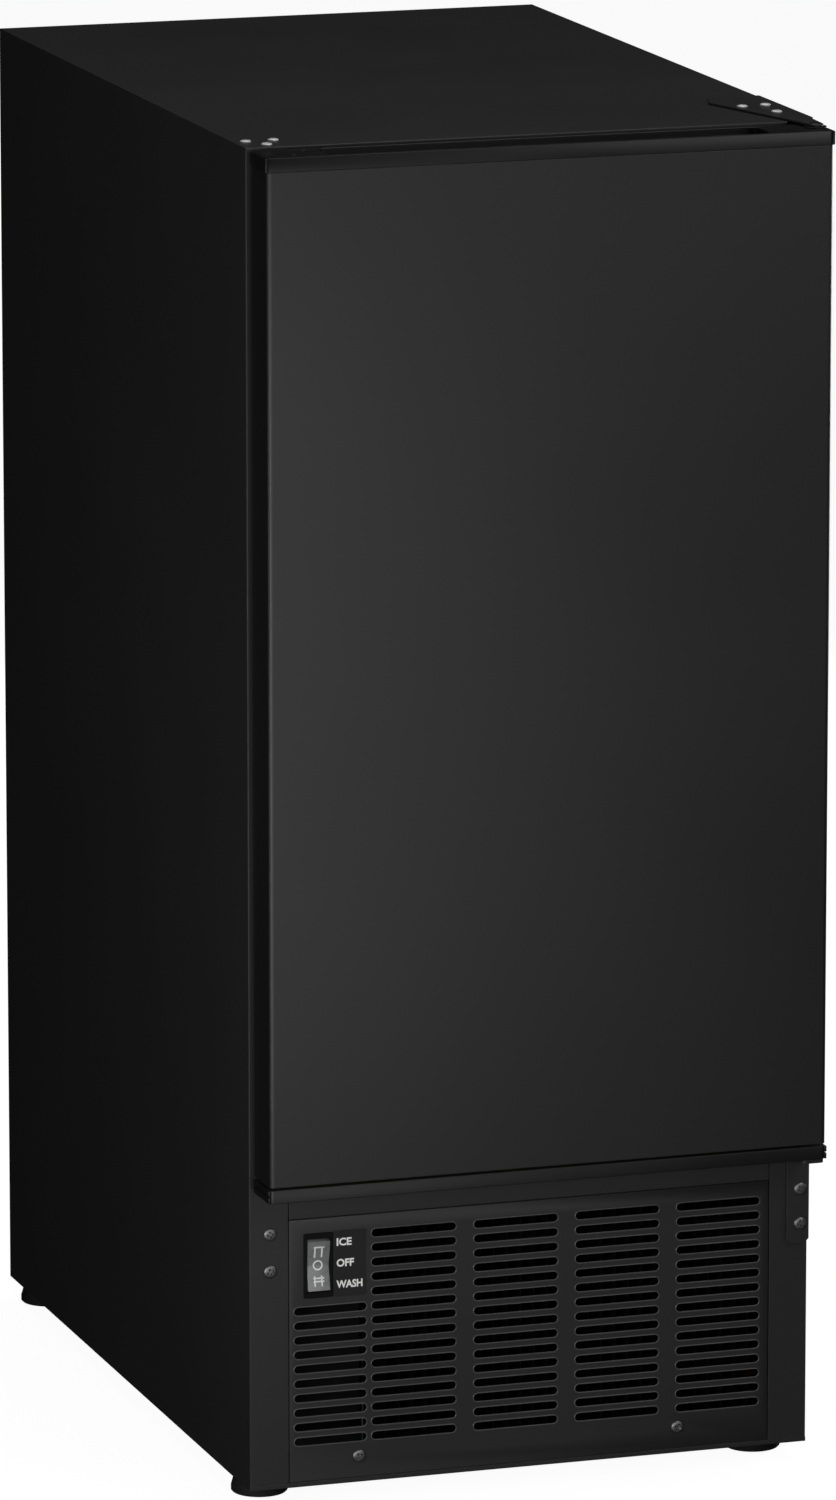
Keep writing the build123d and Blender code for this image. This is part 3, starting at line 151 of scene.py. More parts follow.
paint_wear = (0.09, 0.09, 0.092)
looks = {
    "black_steel": finish(
        "cabinet_paint", (0.0235, 0.0235, 0.0238), 0.46, specular=0.35, mottle=0.05, grain=1400,
        grain_height=0.012, rough_change=0.02, wear=paint_wear, edge=0.7,
    ),
    "zinc_steel": finish(
        "galvanised_sheet", (0.50, 0.51, 0.52), 0.42, metallic=0.9, mottle=0.08, spangle=90,
        grain=500, grain_height=0.01, rough_change=0.1, wear=(0.6, 0.6, 0.6),
    ),
    "foam": finish("foam", (0.72, 0.62, 0.36), 0.85, mottle=0.1, grain=420, grain_height=0.35),
    "liner_plastic": finish(
        "liner_white", (0.72, 0.73, 0.73), 0.34, mottle=0.03, grain=650, grain_height=0.015,
        wear=(0.8, 0.8, 0.8), edge=1.2,
    ),
    "cap_plastic": finish(
        "cap_black", (0.0085, 0.0085, 0.009), 0.38, specular=0.3, mottle=0.1, grain=1800,
        grain_height=0.01, wear=(0.05, 0.05, 0.05), edge=0.6,
    ),
    "label_film": finish(
        "label_film", (0.0135, 0.0135, 0.014), 0.5, specular=0.3, mottle=0.06, grain=2500,
        grain_height=0.004, edge=0.15,
    ),
    "smoke_plastic": finish(
        "rocker_smoke", (0.20, 0.21, 0.21), 0.3, mottle=0.15, mottle_scale=160, grain=900,
        grain_height=0.03, stretch=(2.5, 2.5, 0.12), coat=0.3, edge=0.5,
    ),
    "screw_metal": finish(
        "nickel_screw", (0.62, 0.62, 0.61), 0.24, metallic=1.0, mottle=0.1, mottle_scale=300,
        grain=3000, grain_height=0.004, wear=(0.8, 0.8, 0.8), edge=0.2,
    ),
    "bushing_plastic": finish(
        "nylon", (0.55, 0.54, 0.50), 0.42, mottle=0.05, grain=1200, grain_height=0.01
    ),
    "gasket_rubber": finish(
        "gasket_rubber", (0.016, 0.016, 0.017), 0.58, specular=0.4, mottle=0.15, grain=1500,
        grain_height=0.015, wear=(0.04, 0.04, 0.04),
    ),
    "foot_plastic": finish(
        "foot_black", (0.012, 0.012, 0.0125), 0.7, specular=0.2, mottle=0.2, mottle_scale=60, grain=1300,
        grain_height=0.03, wear=(0.06, 0.06, 0.06),
    ),
    "machine_black": finish(
        "machine_black", (0.012, 0.012, 0.013), 0.32, mottle=0.15, grain=700, grain_height=0.03,
        wear=(0.10, 0.10, 0.10),
    ),
    # The aluminium fins are drawn near black: painted shade, so the condenser reads black through the
    # grille slots.
    "fin_aluminium": finish(
        "fins_in_painted_shade", (0.003, 0.003, 0.003), 0.8, specular=0.1, mottle=0.3, grain=700,
        grain_height=0.2, stretch=(1, 1, 0.02),
    ),
    "grey_plastic": finish(
        "grey_plastic", (0.30, 0.31, 0.32), 0.42, mottle=0.05, grain=900, grain_height=0.015,
        wear=(0.4, 0.4, 0.4),
    ),
    "copper": finish(
        "copper", (0.62, 0.30, 0.17), 0.3, metallic=1.0, mottle=0.25, mottle_scale=40, grain=900,
        grain_height=0.01, rough_change=0.12,
    ),
    "plated_metal": finish(
        "nickel_plate", (0.66, 0.66, 0.64), 0.28, metallic=1.0, mottle=0.08, mottle_scale=30,
        grain=900, grain_height=0.008,
    ),
    "clear_tube": finish(
        "clear_tube", (0.70, 0.72, 0.72), 0.2, mottle=0.05, grain=900, grain_height=0.008,
        transmission=0.55,
    ),
}
door_paint = finish(
    "door_enamel", (0.0105, 0.0105, 0.0107), 0.40, specular=0.5, mottle=0.05, mottle_scale=4,
    grain=1600, grain_height=0.010, rough_change=0.03, wear=paint_wear, edge=0.8,
)
dull_screw = finish(
    "zinc_screw", (0.21, 0.21, 0.21), 0.42, metallic=0.9, mottle=0.2, mottle_scale=300,
    grain=3000, grain_height=0.006, wear=(0.5, 0.5, 0.5), edge=0.25,
)
# Near-white paint for the top screws, which are plated metal: a painted highlight standing in for their
# glint.
painted_highlight_screw = finish(
    "painted_highlight_screw", (0.85, 0.85, 0.84), 0.42, metallic=0.25, mottle=0.08, mottle_scale=300,
    grain=3000, grain_height=0.004, edge=0.2,
)
# Paint for the grille's slot lips, much lighter than the cabinet paint they are pressed from: a painted
# highlight along the lips.
painted_highlight_bead = finish(
    "painted_highlight_bead", (0.075, 0.075, 0.076), 0.34, specular=0.6, mottle=0.1, grain=2000,
    grain_height=0.006, edge=0.1,
)
# Near black: painted shade on the zinc control box and base pan, so the grille slots read black; also
# plain black for the switch housing.
black_and_painted_shade = finish(
    "black_and_painted_shade", (0.003, 0.003, 0.003), 0.6, specular=0.15, mottle=0.2, grain=900, grain_height=0.02
)
print_white = finish(
    "print_white", (0.92, 0.92, 0.91), 0.45, mottle=0.04, mottle_scale=300, grain=2500,
    grain_height=0.006, edge=0.05,
)
symbol_white = finish(
    "symbol_white", (0.86, 0.87, 0.86), 0.4, mottle=0.06, mottle_scale=300, grain=2500,
    grain_height=0.006, edge=0.1,
)
slot_of = {}
for entry in frame["record"]["materials"]:
    for name in entry.get("nodes", []):
        slot_of[name] = entry["slot"]
for name, node in nodes.items():
    for place in node.material_slots:
        place.material = looks[slot_of.get(name, place.material.name)]
# control_box and base_pan are zinc steel drawn near black as painted shade behind the grille; the switch
# housing is black plastic.
for name, material in (
    ("door_panel", door_paint), ("control_box", black_and_painted_shade), ("switch_housing", black_and_painted_shade),
    ("base_pan", black_and_painted_shade), ("door_bushings", looks["cap_plastic"]),
):
    for place in nodes[name].material_slots:
        place.material = material


# ---------------------------------------------------------------- mesh helpers
def new_piece(name, mesh_builder, material, body, stands_for=(), sharp=38.0):
    """A mesh piece that rides on a body. mesh_builder is used up; its tagged faces stay flat."""
    bmesh.ops.recalc_face_normals(mesh_builder, faces=mesh_builder.faces)
    for face in mesh_builder.faces:
        face.smooth = not face.tag
    mesh = bpy.data.meshes.new(name)
    mesh_builder.to_mesh(mesh)
    mesh_builder.free()
    mesh.set_sharp_from_angle(angle=math.radians(sharp))
    piece = bpy.data.objects.new(name, mesh)
    scene.collection.objects.link(piece)
    mesh.materials.append(material)
    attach(piece, body)
    if stands_for:
        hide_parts(*stands_for)
    return piece


def ring(mesh, points):
    """New vertices at points, in millimetres."""
    return [mesh.verts.new(Vector(p) * MM) for p in points]


def bridge(mesh, first, second):
    """Quads between two closed rings with as many vertices."""
    count = len(first)
    for i in range(count):
        j = (i + 1) % count
        mesh.faces.new((first[i], first[j], second[j], second[i]))


def join(mesh, rings, loop=False):
    """Rings of vertices bridged in order, and the last to the first if loop."""
    for first, second in zip(rings, rings[1:]):
        bridge(mesh, first, second)
    if loop:
        bridge(mesh, rings[-1], rings[0])


def stack(mesh, rings, loop=False):
    """Rings of points joined in order, and the last to the first if loop, or else closed at both ends."""
    made = [ring(mesh, points) for points in rings]
    join(mesh, made, loop)
    if not loop:
        mesh.faces.new(made[0])
        mesh.faces.new(made[-1])
    return made


def fill_plane(mesh, outer, holes, axes=(0, 2)):
    """Triangles between an outer ring of vertices and rings round its holes, in the axes' plane."""
    rings = [outer, *holes]
    flat = [v for r in rings for v in r]
    loops = [[Vector((v.co[axes[0]], v.co[axes[1]], 0)) for v in r] for r in rings]
    for triangle in tessellate_polygon(loops):
        mesh.faces.new([flat[i] for i in triangle]).tag = True


def stadium(x, z, length, height, grow=0.0, steps=6):
    """The outline of a slot with round ends, grown by grow, as (x, z) points."""
    radius = height / 2 + grow
    reach = (length - height) / 2
    points = []
    for side, start in ((1, -90), (-1, 90)):
        for i in range(steps + 1):
            angle = math.radians(start + 180 * i / steps)
            points.append((x + side * reach + radius * math.cos(angle), z + radius * math.sin(angle)))
    return points


def rounded_rectangle(half_x, half_z, radius, x=0.0, z=0.0, steps=5):
    """The outline of a rectangle with round corners, as (x, z) points."""
    radius = max(radius, 0.01)
    points = []
    for side_x, side_z, start in ((1, 1, 0), (-1, 1, 90), (-1, -1, 180), (1, -1, 270)):
        for i in range(steps + 1):
            angle = math.radians(start + 90 * i / steps)
            points.append(
                (
                    x + side_x * (half_x - radius) + radius * math.cos(angle),
                    z + side_z * (half_z - radius) + radius * math.sin(angle),
                )
            )
    return points


def pierced_plate(mesh, beads, outer, slots, plain_holes, face_y, outward, thickness, lip):
    """A sheet in the XZ plane, pierced with slots whose raised, rolled lips go into beads."""
    def at(builder, points, height):
        return ring(builder, [(x, face_y + outward * height, z) for x, z in points])

    edge = 0.35
    half_x, half_z, x, z = outer
    front_edge = at(mesh, rounded_rectangle(half_x - edge, half_z - edge, 0.3, x, z), 0)
    side_edge = at(mesh, rounded_rectangle(half_x, half_z, 0.6, x, z), -edge)
    back_edge = at(mesh, rounded_rectangle(half_x, half_z, 0.6, x, z), -thickness)
    join(mesh, [front_edge, side_edge, back_edge])
    front_holes, back_holes = [], []
    rolled = ((2.2, -0.2), (2.2, 0.1), (1.9, 0.6), (1.3, 1.0), (0.7, 1.0), (0.1, 0.6), (-0.1, 0.1),
              (-0.1, -0.2))
    for sx, sz, length, height in slots:
        rings = [
            at(beads, stadium(sx, sz, length, height, lip * grow), lip * rise) for grow, rise in rolled
        ]
        join(beads, rings, loop=True)
    openings = [stadium(*slot) for slot in slots] + list(plain_holes)
    for points in openings:
        first, second = at(mesh, points, 0), at(mesh, points, -thickness)
        bridge(mesh, first, second)
        front_holes.append(first)
        back_holes.append(second)
    fill_plane(mesh, front_edge, front_holes)
    fill_plane(mesh, back_edge, back_holes)


def circle(x, z, radius, steps=24):
    """A circle as points in its plane."""
    return [
        (x + radius * math.cos(2 * math.pi * i / steps), z + radius * math.sin(2 * math.pi * i / steps))
        for i in range(steps)
    ]


def add_box(mesh, low, high, edge=0.0, segments=2):
    """A box between two corners in millimetres, with its edges rounded."""
    made = bmesh.ops.create_cube(mesh, size=1.0)["verts"]
    low, high = Vector(low), Vector(high)
    for v in made:
        v.co = Vector(
            (low[i] + high[i]) / 2 + (v.co[i] * (high[i] - low[i])) for i in range(3)
        ) * MM
    if edge:
        edges = {e for v in made for e in v.link_edges}
        bmesh.ops.bevel(
            mesh, geom=list(edges), offset=edge * MM, segments=segments, affect="EDGES", profile=0.5
        )


# ---------------------------------------------------------------- places read from the frame
def extent(name):
    """The lowest and highest corners of a CAD node, in millimetres."""
    low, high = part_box(name)
    return low / MM, high / MM


grille_low, grille_high = extent("grille_panel")
front_y = grille_low.y
top_high = extent("top_panel")[1]
top_z = top_high.z
half_width = top_high.x
door_low, door_high = extent("door_panel")
bottom_cap_low, bottom_cap_high = extent("door_bottom_cap")
top_cap_low, top_cap_high = extent("door_top_cap")
base_z = grille_low.z

# ---------------------------------------------------------------- grille
SLOT_HEIGHT = 5.0
SLOT_LENGTH, SHORT_SLOT_LENGTH = 55.7, 47.5
ROW_PITCH, COLUMN_PITCH = 9.41, 67.6
ROWS, SHORT_ROWS, COLUMNS = 15, 10, 4
FIRST_ROW = 26.3
SCREW_ROW = 14
last_column_x = grille_high.x - 34.1
grille_slots = []
for row in range(ROWS):
    z = base_z + FIRST_ROW + row * ROW_PITCH
    for column in range(COLUMNS):
        grille_slots.append((last_column_x - column * COLUMN_PITCH, z, SLOT_LENGTH, SLOT_HEIGHT))
    if row < SHORT_ROWS:
        grille_slots.append((grille_low.x + 27.0, z, SHORT_SLOT_LENGTH, SLOT_HEIGHT))
grille_screws = [
    (grille_low.x + 45.7, base_z + SCREW_ROW), (grille_high.x - 61.0, base_z + SCREW_ROW)
]
rocker_low, rocker_high = extent("rocker")
switch_x = (rocker_low.x + rocker_high.x) / 2
switch_z = (rocker_low.z + rocker_high.z) / 2
plate = bmesh.new()
beads = bmesh.new()
pierced_plate(
    plate, beads,
    (grille_high.x, (grille_high.z - base_z) / 2, 0.0, (grille_high.z + base_z) / 2),
    grille_slots,
    [rounded_rectangle(8.7, 19.1, 0.5, switch_x, switch_z)]
    + [circle(x, z, 2.1) for x, z in grille_screws],
    front_y, -1, 0.8, 0.36,
)
add_box(
    plate,
    (grille_low.x + 0.2, front_y + 0.8, grille_high.z - 1.0),
    (grille_high.x - 0.2, grille_high.y, grille_high.z - 0.05),
    0.3,
)
# The slot lips take the lighter paint, a painted highlight.
new_piece("grille_slot_lips", beads, painted_highlight_bead, "cabinet", (), 60)
new_piece(
    "grille_pressed", plate, looks["black_steel"], "cabinet", ["grille_panel"], 50
)

# Folded lower edges that hang a little below the panels' cut edges.
EDGE_DROP = 3.0
hem = bmesh.new()
post_edge = grille_high.x + 0.1
for low_x, high_x in (
    (-half_width, -post_edge), (-grille_high.x, grille_high.x), (post_edge, half_width)
):
    add_box(hem, (low_x, front_y, base_z - EDGE_DROP), (high_x, front_y + 1.0, base_z))
for low_x in (-half_width, half_width - 1.0):
    add_box(hem, (low_x, front_y + 1.0, base_z - EDGE_DROP), (low_x + 1.0, top_high.y, base_z))
for face in hem.faces:
    face.tag = True
new_piece("folded_lower_edges", hem, looks["black_steel"], "cabinet")

# ---------------------------------------------------------------- screws
def cross_cutter(radius, depth, top):
    """A tapered cross that cuts the driver recess, standing on the Z axis below top."""
    cutter = bmesh.new()
    width = radius * 0.34
    reach = radius * 0.74
    for turn in (0, 1):
        rings = []
        for height, share in ((top + radius * 0.3, 1.08), (top - depth, 0.42)):
            w, r = width * (0.6 + 0.4 * share) / 2, reach * share
            rings.append([
                (Matrix.Rotation(turn * math.pi / 2, 3, "Z") @ Vector(p))
                for p in ((-r, -w, height), (r, -w, height), (r, w, height), (-r, w, height))
            ])
        stack(cutter, rings)
    bmesh.ops.recalc_face_normals(cutter, faces=cutter.faces)
    return cutter


def screw_mesh(radius, height, shank_radius, shank_length):
    """A cross-recessed pan head screw on the Z axis with its seat at z = 0."""
    profile = [(shank_radius, -shank_length), (shank_radius, 0.0), (radius * 0.985, 0.0),
               (radius, height * 0.12), (radius, height * 0.42)]
    for i in range(1, 7):
        angle = math.radians(90 * i / 6.5)
        profile.append(
            (radius * (0.42 + 0.58 * math.cos(angle)), height * (0.42 + 0.58 * math.sin(angle)))
        )
    body = bmesh.new()
    rings = [
        [(r * math.cos(2 * math.pi * i / 28), r * math.sin(2 * math.pi * i / 28), h)
         for i in range(28)]
        for r, h in profile
    ]
    stack(body, rings)
    bmesh.ops.recalc_face_normals(body, faces=body.faces)
    pieces = []
    for label, source in (("head", body), ("cutter", cross_cutter(radius, height * 0.72, height))):
        mesh = bpy.data.meshes.new(label)
        source.to_mesh(mesh)
        source.free()
        pieces.append(bpy.data.objects.new(label, mesh))
        scene.collection.objects.link(pieces[-1])
    cut = pieces[0].modifiers.new("recess", "BOOLEAN")
    cut.operation, cut.solver, cut.object = "DIFFERENCE", "EXACT", pieces[1]
    cut.use_self = True
    bpy.context.view_layer.update()
    evaluated = pieces[0].evaluated_get(bpy.context.evaluated_depsgraph_get())
    result = bpy.data.meshes.new_from_object(evaluated)
    for piece in pieces:
        bpy.data.objects.remove(piece)
    return result


def screws(name, source, spots, turn, metal, stands_for, twists):
    """Copies of a screw at spots in millimetres, each turned about its own axis."""
    made = bmesh.new()
    for spot, twist in zip(spots, twists):
        part = source.copy()
        spin = Matrix.Rotation(math.radians(twist), 4, "Z")
        part.transform(Matrix.Translation(Vector(spot) * MM) @ turn @ spin)
        made.from_mesh(part)
        bpy.data.meshes.remove(part)
    return new_piece(name, made, metal, "cabinet", stands_for, 30)


face_front = Matrix.Rotation(math.pi / 2, 4, "X")
bracket_y = extent("lower_hinge_bracket")[1].y - 3.0
post_screw_x = -half_width + 13.5
bracket_screw_x = half_width - 6.1
front_screw_spots = [
    (post_screw_x, front_y, 178.5), (post_screw_x, front_y, 154.5),
    (bracket_screw_x, bracket_y, 180.5), (bracket_screw_x, bracket_y, 157.8),
] + [(x, front_y, z) for x, z in grille_screws]
screws(
    "front_screw_heads", screw_mesh(4.25, 1.8, 2.0, 7.0), front_screw_spots, face_front,
    dull_screw, ["front_screws"], (12, 20, 30, 8, 40, 62),
)
BRACKET_THICKNESS = 1.6
spare_spots = [(-half_width + x, front_y + y, top_z) for x, y in ((7.5, 24), (25.5, 25), (16.5, 9))]
hinge_spots = [
    (half_width - x, front_y + y, top_z + BRACKET_THICKNESS)
    for x, y in ((28.5, 56), (12.5, 58), (15.5, 29))
]
# The top screw heads get the near-white paint, a painted highlight.
screws(
    "top_screw_heads", screw_mesh(3.4, 1.3, 1.8, 8.0), spare_spots + hinge_spots,
    Matrix.Identity(4), painted_highlight_screw, ["top_screws"], (5, 35, 50, 70, 15, 28),
)

# ---------------------------------------------------------------- rocker and its label
ROCKER_RADIUS = 17.0
FACE_LOW = 2.6
FACE_HIGH = 6.0
ROCKER_HALF = 7.2
face_reach = math.sqrt(ROCKER_RADIUS**2 - FACE_HIGH**2)
pivot_y = front_y + 3.0
face_slope = (FACE_HIGH - FACE_LOW) / face_reach


def face_depth(t):
    """How far the rocker's V-shaped face stands in front of the pivot, t above its middle."""
    return FACE_LOW + face_slope * math.sqrt(t * t + 0.6)


profile = [(face_reach * i / 10, face_depth(face_reach * i / 10)) for i in range(-10, 11)]
for sign in (1, -1):
    arc = []
    for i in range(1, 9):
        start = math.asin(FACE_HIGH / ROCKER_RADIUS)
        angle = start - 2 * start * i / 8
        arc.append((ROCKER_RADIUS * math.cos(angle), ROCKER_RADIUS * math.sin(angle)))
    profile += arc if sign > 0 else [(-t, d) for t, d in reversed(arc)]
paddle = bmesh.new()
paddle_rings = []
for x, inset in (
    (-ROCKER_HALF, 0.5), (0.15 - ROCKER_HALF, 0.15), (0.5 - ROCKER_HALF, 0.0),
    (ROCKER_HALF - 0.5, 0.0), (ROCKER_HALF - 0.15, 0.15), (ROCKER_HALF, 0.5),
):
    paddle_rings.append(
        [
            (switch_x + x, pivot_y - d * (1 - inset / 12), switch_z + t * (1 - inset / ROCKER_RADIUS))
            for t, d in profile
        ]
    )
stack(paddle, paddle_rings)
for side in (-1, 1):
    stack(
        paddle,
        [
            [(switch_x + side * x, pivot_y + r * math.cos(a), switch_z + r * math.sin(a))
             for a in [2 * math.pi * i / 20 for i in range(20)]]
            for x, r in ((7.0, 1.45), (8.4, 1.45), (8.55, 1.25))
        ],
    )
new_piece("rocker_paddle", paddle, looks["smoke_plastic"], "rocker", ["rocker"], 30)


def face_point(x, t, rise):
    """A place on the rocker's face, x across and t above its middle, lifted by rise."""
    return (switch_x + x, pivot_y - face_depth(t) - rise, switch_z + t)


def stroke(mesh, x0, x1, t0, t1, rise=0.28):
    """A raised bar on the rocker's face."""
    corners = ((x0, t0), (x1, t0), (x1, t1), (x0, t1))
    middle = ((x0 + x1) / 2, (t0 + t1) / 2)

    def shrunk(x, t, by):
        return x + math.copysign(by, middle[0] - x), t + math.copysign(by, middle[1] - t)

    stack(
        mesh,
        [
            [face_point(x, t, -0.2) for x, t in corners],
            [face_point(x, t, rise * 0.7) for x, t in corners],
            [face_point(*shrunk(x, t, 0.12), rise) for x, t in corners],
        ],
    )


symbols = bmesh.new()
LINE = 1.0
for x in (-2.6, 2.0):
    stroke(symbols, x - LINE / 2, x + LINE / 2, 5.2, 12.6)
    stroke(symbols, x - LINE / 2, x + LINE / 2, -13.2, -6.6)
stroke(symbols, -3.4, 3.6, 11.6, 11.6 + LINE)
for t in (-10.6, -8.6):
    stroke(symbols, -3.6, 3.6, t, t + LINE)
ring_points = [
    [face_point(-0.2 + r * math.cos(a), r * math.sin(a), rise)
     for a in [2 * math.pi * i / 36 for i in range(36)]]
    for r, rise in ((3.3, -0.2), (3.3, 0.2), (3.15, 0.28), (2.45, 0.28), (2.3, 0.2), (2.3, -0.2))
]
stack(symbols, ring_points, loop=True)
new_piece("rocker_symbols", symbols, symbol_white, "rocker", (), 30)


def words(name, text, x, z, height, width):
    """Flat printed capitals on the label, width millimetres long."""
    curve = bpy.data.curves.new(name, "FONT")
    curve.body = text
    curve.size = 1.0
    curve.offset = 0.034
    curve.extrude = 0.01
    curve.resolution_u = 4
    letters = bpy.data.objects.new(name, curve)
    scene.collection.objects.link(letters)
    bpy.context.view_layer.update()
    mesh = bpy.data.meshes.new_from_object(letters.evaluated_get(bpy.context.evaluated_depsgraph_get()))
    bpy.data.objects.remove(letters)
    low = [min(v.co[i] for v in mesh.vertices) for i in range(2)]
    high = [max(v.co[i] for v in mesh.vertices) for i in range(2)]
    for v in mesh.vertices:
        v.co = Vector(
            (
                (v.co.x - low[0]) / (high[0] - low[0]) * width + x,
                label_y - (0.06 if v.co.z > 0 else -0.05),
                (v.co.y - low[1]) / (high[1] - low[1]) * height + z,
            )
        ) * MM
    made = bmesh.new()
    made.from_mesh(mesh)
    bmesh.ops.remove_doubles(made, verts=made.verts, dist=0.00001)
    return new_piece(name, made, print_white, "cabinet", (), 30)


label_y = extent("switch_label")[0].y
LETTER_HEIGHT = 5.1
words("label_word_ice", "ICE", -128.4, 167.6, LETTER_HEIGHT, 9.9)
words("label_word_off", "OFF", -128.4, 154.0, LETTER_HEIGHT, 11.4)
words("label_word_wash", "WASH", -128.6, 140.2, LETTER_HEIGHT, 17.2)

# ---------------------------------------------------------------- door gasket and liner
gasket_low, gasket_high = extent("door_gasket")
gasket_z = (gasket_low.z + gasket_high.z) / 2
GASKET_HALF_WIDTH = 5.5
gasket_x = gasket_high.x - GASKET_HALF_WIDTH
gasket_half_z = (gasket_high.z - gasket_low.z) / 2 - GASKET_HALF_WIDTH
# Half of the seal's cross section, as (width, depth) points from its middle groove to its foot.
half_bellows = (
    (0.0, 4.6), (1.0, 4.9), (5.0, 4.9), (5.4, 4.6), (5.5, 3.6), (4.4, 3.1), (5.2, 2.7), (5.2, 2.2),
    (3.9, 1.7), (4.2, 1.3), (5.5, 0.9), (5.5, 0.0),
)
bellows = [(-w, depth) for w, depth in reversed(half_bellows[1:])] + list(half_bellows)
seal = bmesh.new()
stack(
    seal,
    [
        [
            (x, gasket_low.y + depth, z)
            for x, z in rounded_rectangle(gasket_x + w, gasket_half_z + w, 7.0 + w, 0, gasket_z, 6)
        ]
        for w, depth in bellows
    ],
    loop=True,
)
new_piece("gasket_bellows", seal, looks["gasket_rubber"], "door", ["door_gasket"], 40)

liner_low, liner_high = extent("door_liner")
liner_z = (liner_low.z + liner_high.z) / 2
liner_half_z = (liner_high.z - liner_low.z) / 2
# The liner's pressed rim, as (inset from its edge, rise from its face).
rim_steps = (
    (0.0, -4.5), (0.0, -3.0), (19.0, -3.0), (20.0, -2.7), (21.5, -0.6), (22.5, -0.1), (24.0, 0.0),
    (34.0, 0.0), (35.5, -0.1), (36.5, -0.6), (38.0, -2.4), (39.5, -2.9), (41.0, -3.0),
)
pan = bmesh.new()
stack(
    pan,
    [
        [
            (x, liner_high.y + rise, z)
            for x, z in rounded_rectangle(
                liner_high.x - inset, liner_half_z - inset, 1.0 if inset < 19 else 26.0 - inset * 0.4,
                0, liner_z, 6,
            )
        ]
        for inset, rise in rim_steps
    ],
)
new_piece("door_inner_liner", pan, looks["liner_plastic"], "door", ["door_liner"], 40)

# ---------------------------------------------------------------- door caps
HINGE_X, HINGE_Y = 177.0, -276.5
BORE = 6.1
FRONT_CORNER, BACK_CORNER = 3.0, 0.6
POCKET_DEPTH = 4.5
MOULDING_HOLE_DEPTH = 3.0


def door_plan(inset):
    """The door's plan outline with round front corners, pulled in by inset, as (x, y) points."""
    points = []
    for side_x, side_y, radius, start in (
        (1, 1, BACK_CORNER, 0), (-1, 1, BACK_CORNER, 90), (-1, -1, FRONT_CORNER, 180),
        (1, -1, FRONT_CORNER, 270),
    ):
        corner_y = (door_high.y if side_y > 0 else door_low.y) - side_y * (inset + radius)
        for i in range(6):
            angle = math.radians(start + 90 * i / 5)
            points.append(
                (
                    side_x * (door_high.x - inset - radius) + radius * math.cos(angle),
                    corner_y + radius * math.sin(angle),
                )
            )
    return points


def level_ring(mesh, points, z):
    """A ring of vertices at height z from (x, y) points."""
    return ring(mesh, [(x, y, z) for x, y in points])


def cap_block(mesh, low, high, through, blind=()):
    """A cap in the door's plan between two heights, with bores through it and pockets in its top."""
    outer = [
        level_ring(mesh, door_plan(inset), z)
        for inset, z in (
            (0.3, low), (0.0, low + 0.3), (0.0, high - 0.45), (0.13, high - 0.13), (0.45, high)
        )
    ]
    join(mesh, outer)
    top_holes, bottom_holes = [], []
    for points in through:
        first, second = level_ring(mesh, points, high), level_ring(mesh, points, low)
        bridge(mesh, first, second)
        top_holes.append(first)
        bottom_holes.append(second)
    for outline, depth in blind:
        rings = [
            level_ring(mesh, outline(grow), high - drop)
            for grow, drop in ((0.3, 0.0), (0.0, 0.3), (0.0, depth))
        ]
        join(mesh, rings)
        fill_plane(mesh, rings[-1], [], (0, 1))
        top_holes.append(rings[0])
    fill_plane(mesh, outer[-1], top_holes, (0, 1))
    fill_plane(mesh, outer[0], bottom_holes, (0, 1))


def top_pocket(grow):
    """The shallow tray between the top cap's end blocks."""
    return rounded_rectangle(143.0 + grow, 13.9 + grow, 6.0, 0.0, HINGE_Y, 6)


def small_hole(x, y):
    """The outline of a moulding hole in an end block."""
    return lambda grow: circle(x, y, 1.6 + grow, 16)


bores = [circle(side * HINGE_X, HINGE_Y, BORE, 32) for side in (-1, 1)]
top_cap = bmesh.new()
cap_block(
    top_cap, top_cap_low.z, top_cap_high.z, bores,
    [
        (top_pocket, POCKET_DEPTH),
        (small_hole(-163.0, -283.5), MOULDING_HOLE_DEPTH),
        (small_hole(-152.0, -268.0), MOULDING_HOLE_DEPTH),
    ],
)
new_piece("top_cap_tray", top_cap, looks["cap_plastic"], "door", ["door_top_cap"], 40)

SEAM = 1.6
SEAM_INSET = 9.0
bottom_cap = bmesh.new()
cap_block(bottom_cap, bottom_cap_low.z, bottom_cap_high.z - SEAM, bores)
add_box(
    bottom_cap,
    (-HINGE_X + 14.0, door_low.y + SEAM_INSET, bottom_cap_high.z - SEAM - 0.2),
    (HINGE_X - 14.0, door_high.y - SEAM_INSET, bottom_cap_high.z),
)
new_piece(
    "bottom_cap_block", bottom_cap, looks["cap_plastic"], "door", ["door_bottom_cap"], 40
)

# A strip stands proud of each cap's ends; the bottom one has a groove along its middle.
END_STRIPS = {
    "top": ((top_cap_low.z + 0.1, top_cap_high.z - 0.3),),
    "bottom": (
        (bottom_cap_low.z + 0.1, bottom_cap_low.z + 3.9),
        (bottom_cap_low.z + 4.6, bottom_cap_low.z + 8.4),
    ),
}
for side, word in ((-1, "left"), (1, "right")):
    x0, x1 = sorted((side * (door_high.x - 0.6), side * (door_high.x + 0.9)))
    for where, bands in END_STRIPS.items():
        end = bmesh.new()
        for low, high in bands:
            add_box(end, (x0, door_low.y + 0.5, low), (x1, door_high.y - 0.6, high), 0.45, 3)
        new_piece(f"cap_end_{where}_{word}", end, looks["cap_plastic"], "door", (), 40)

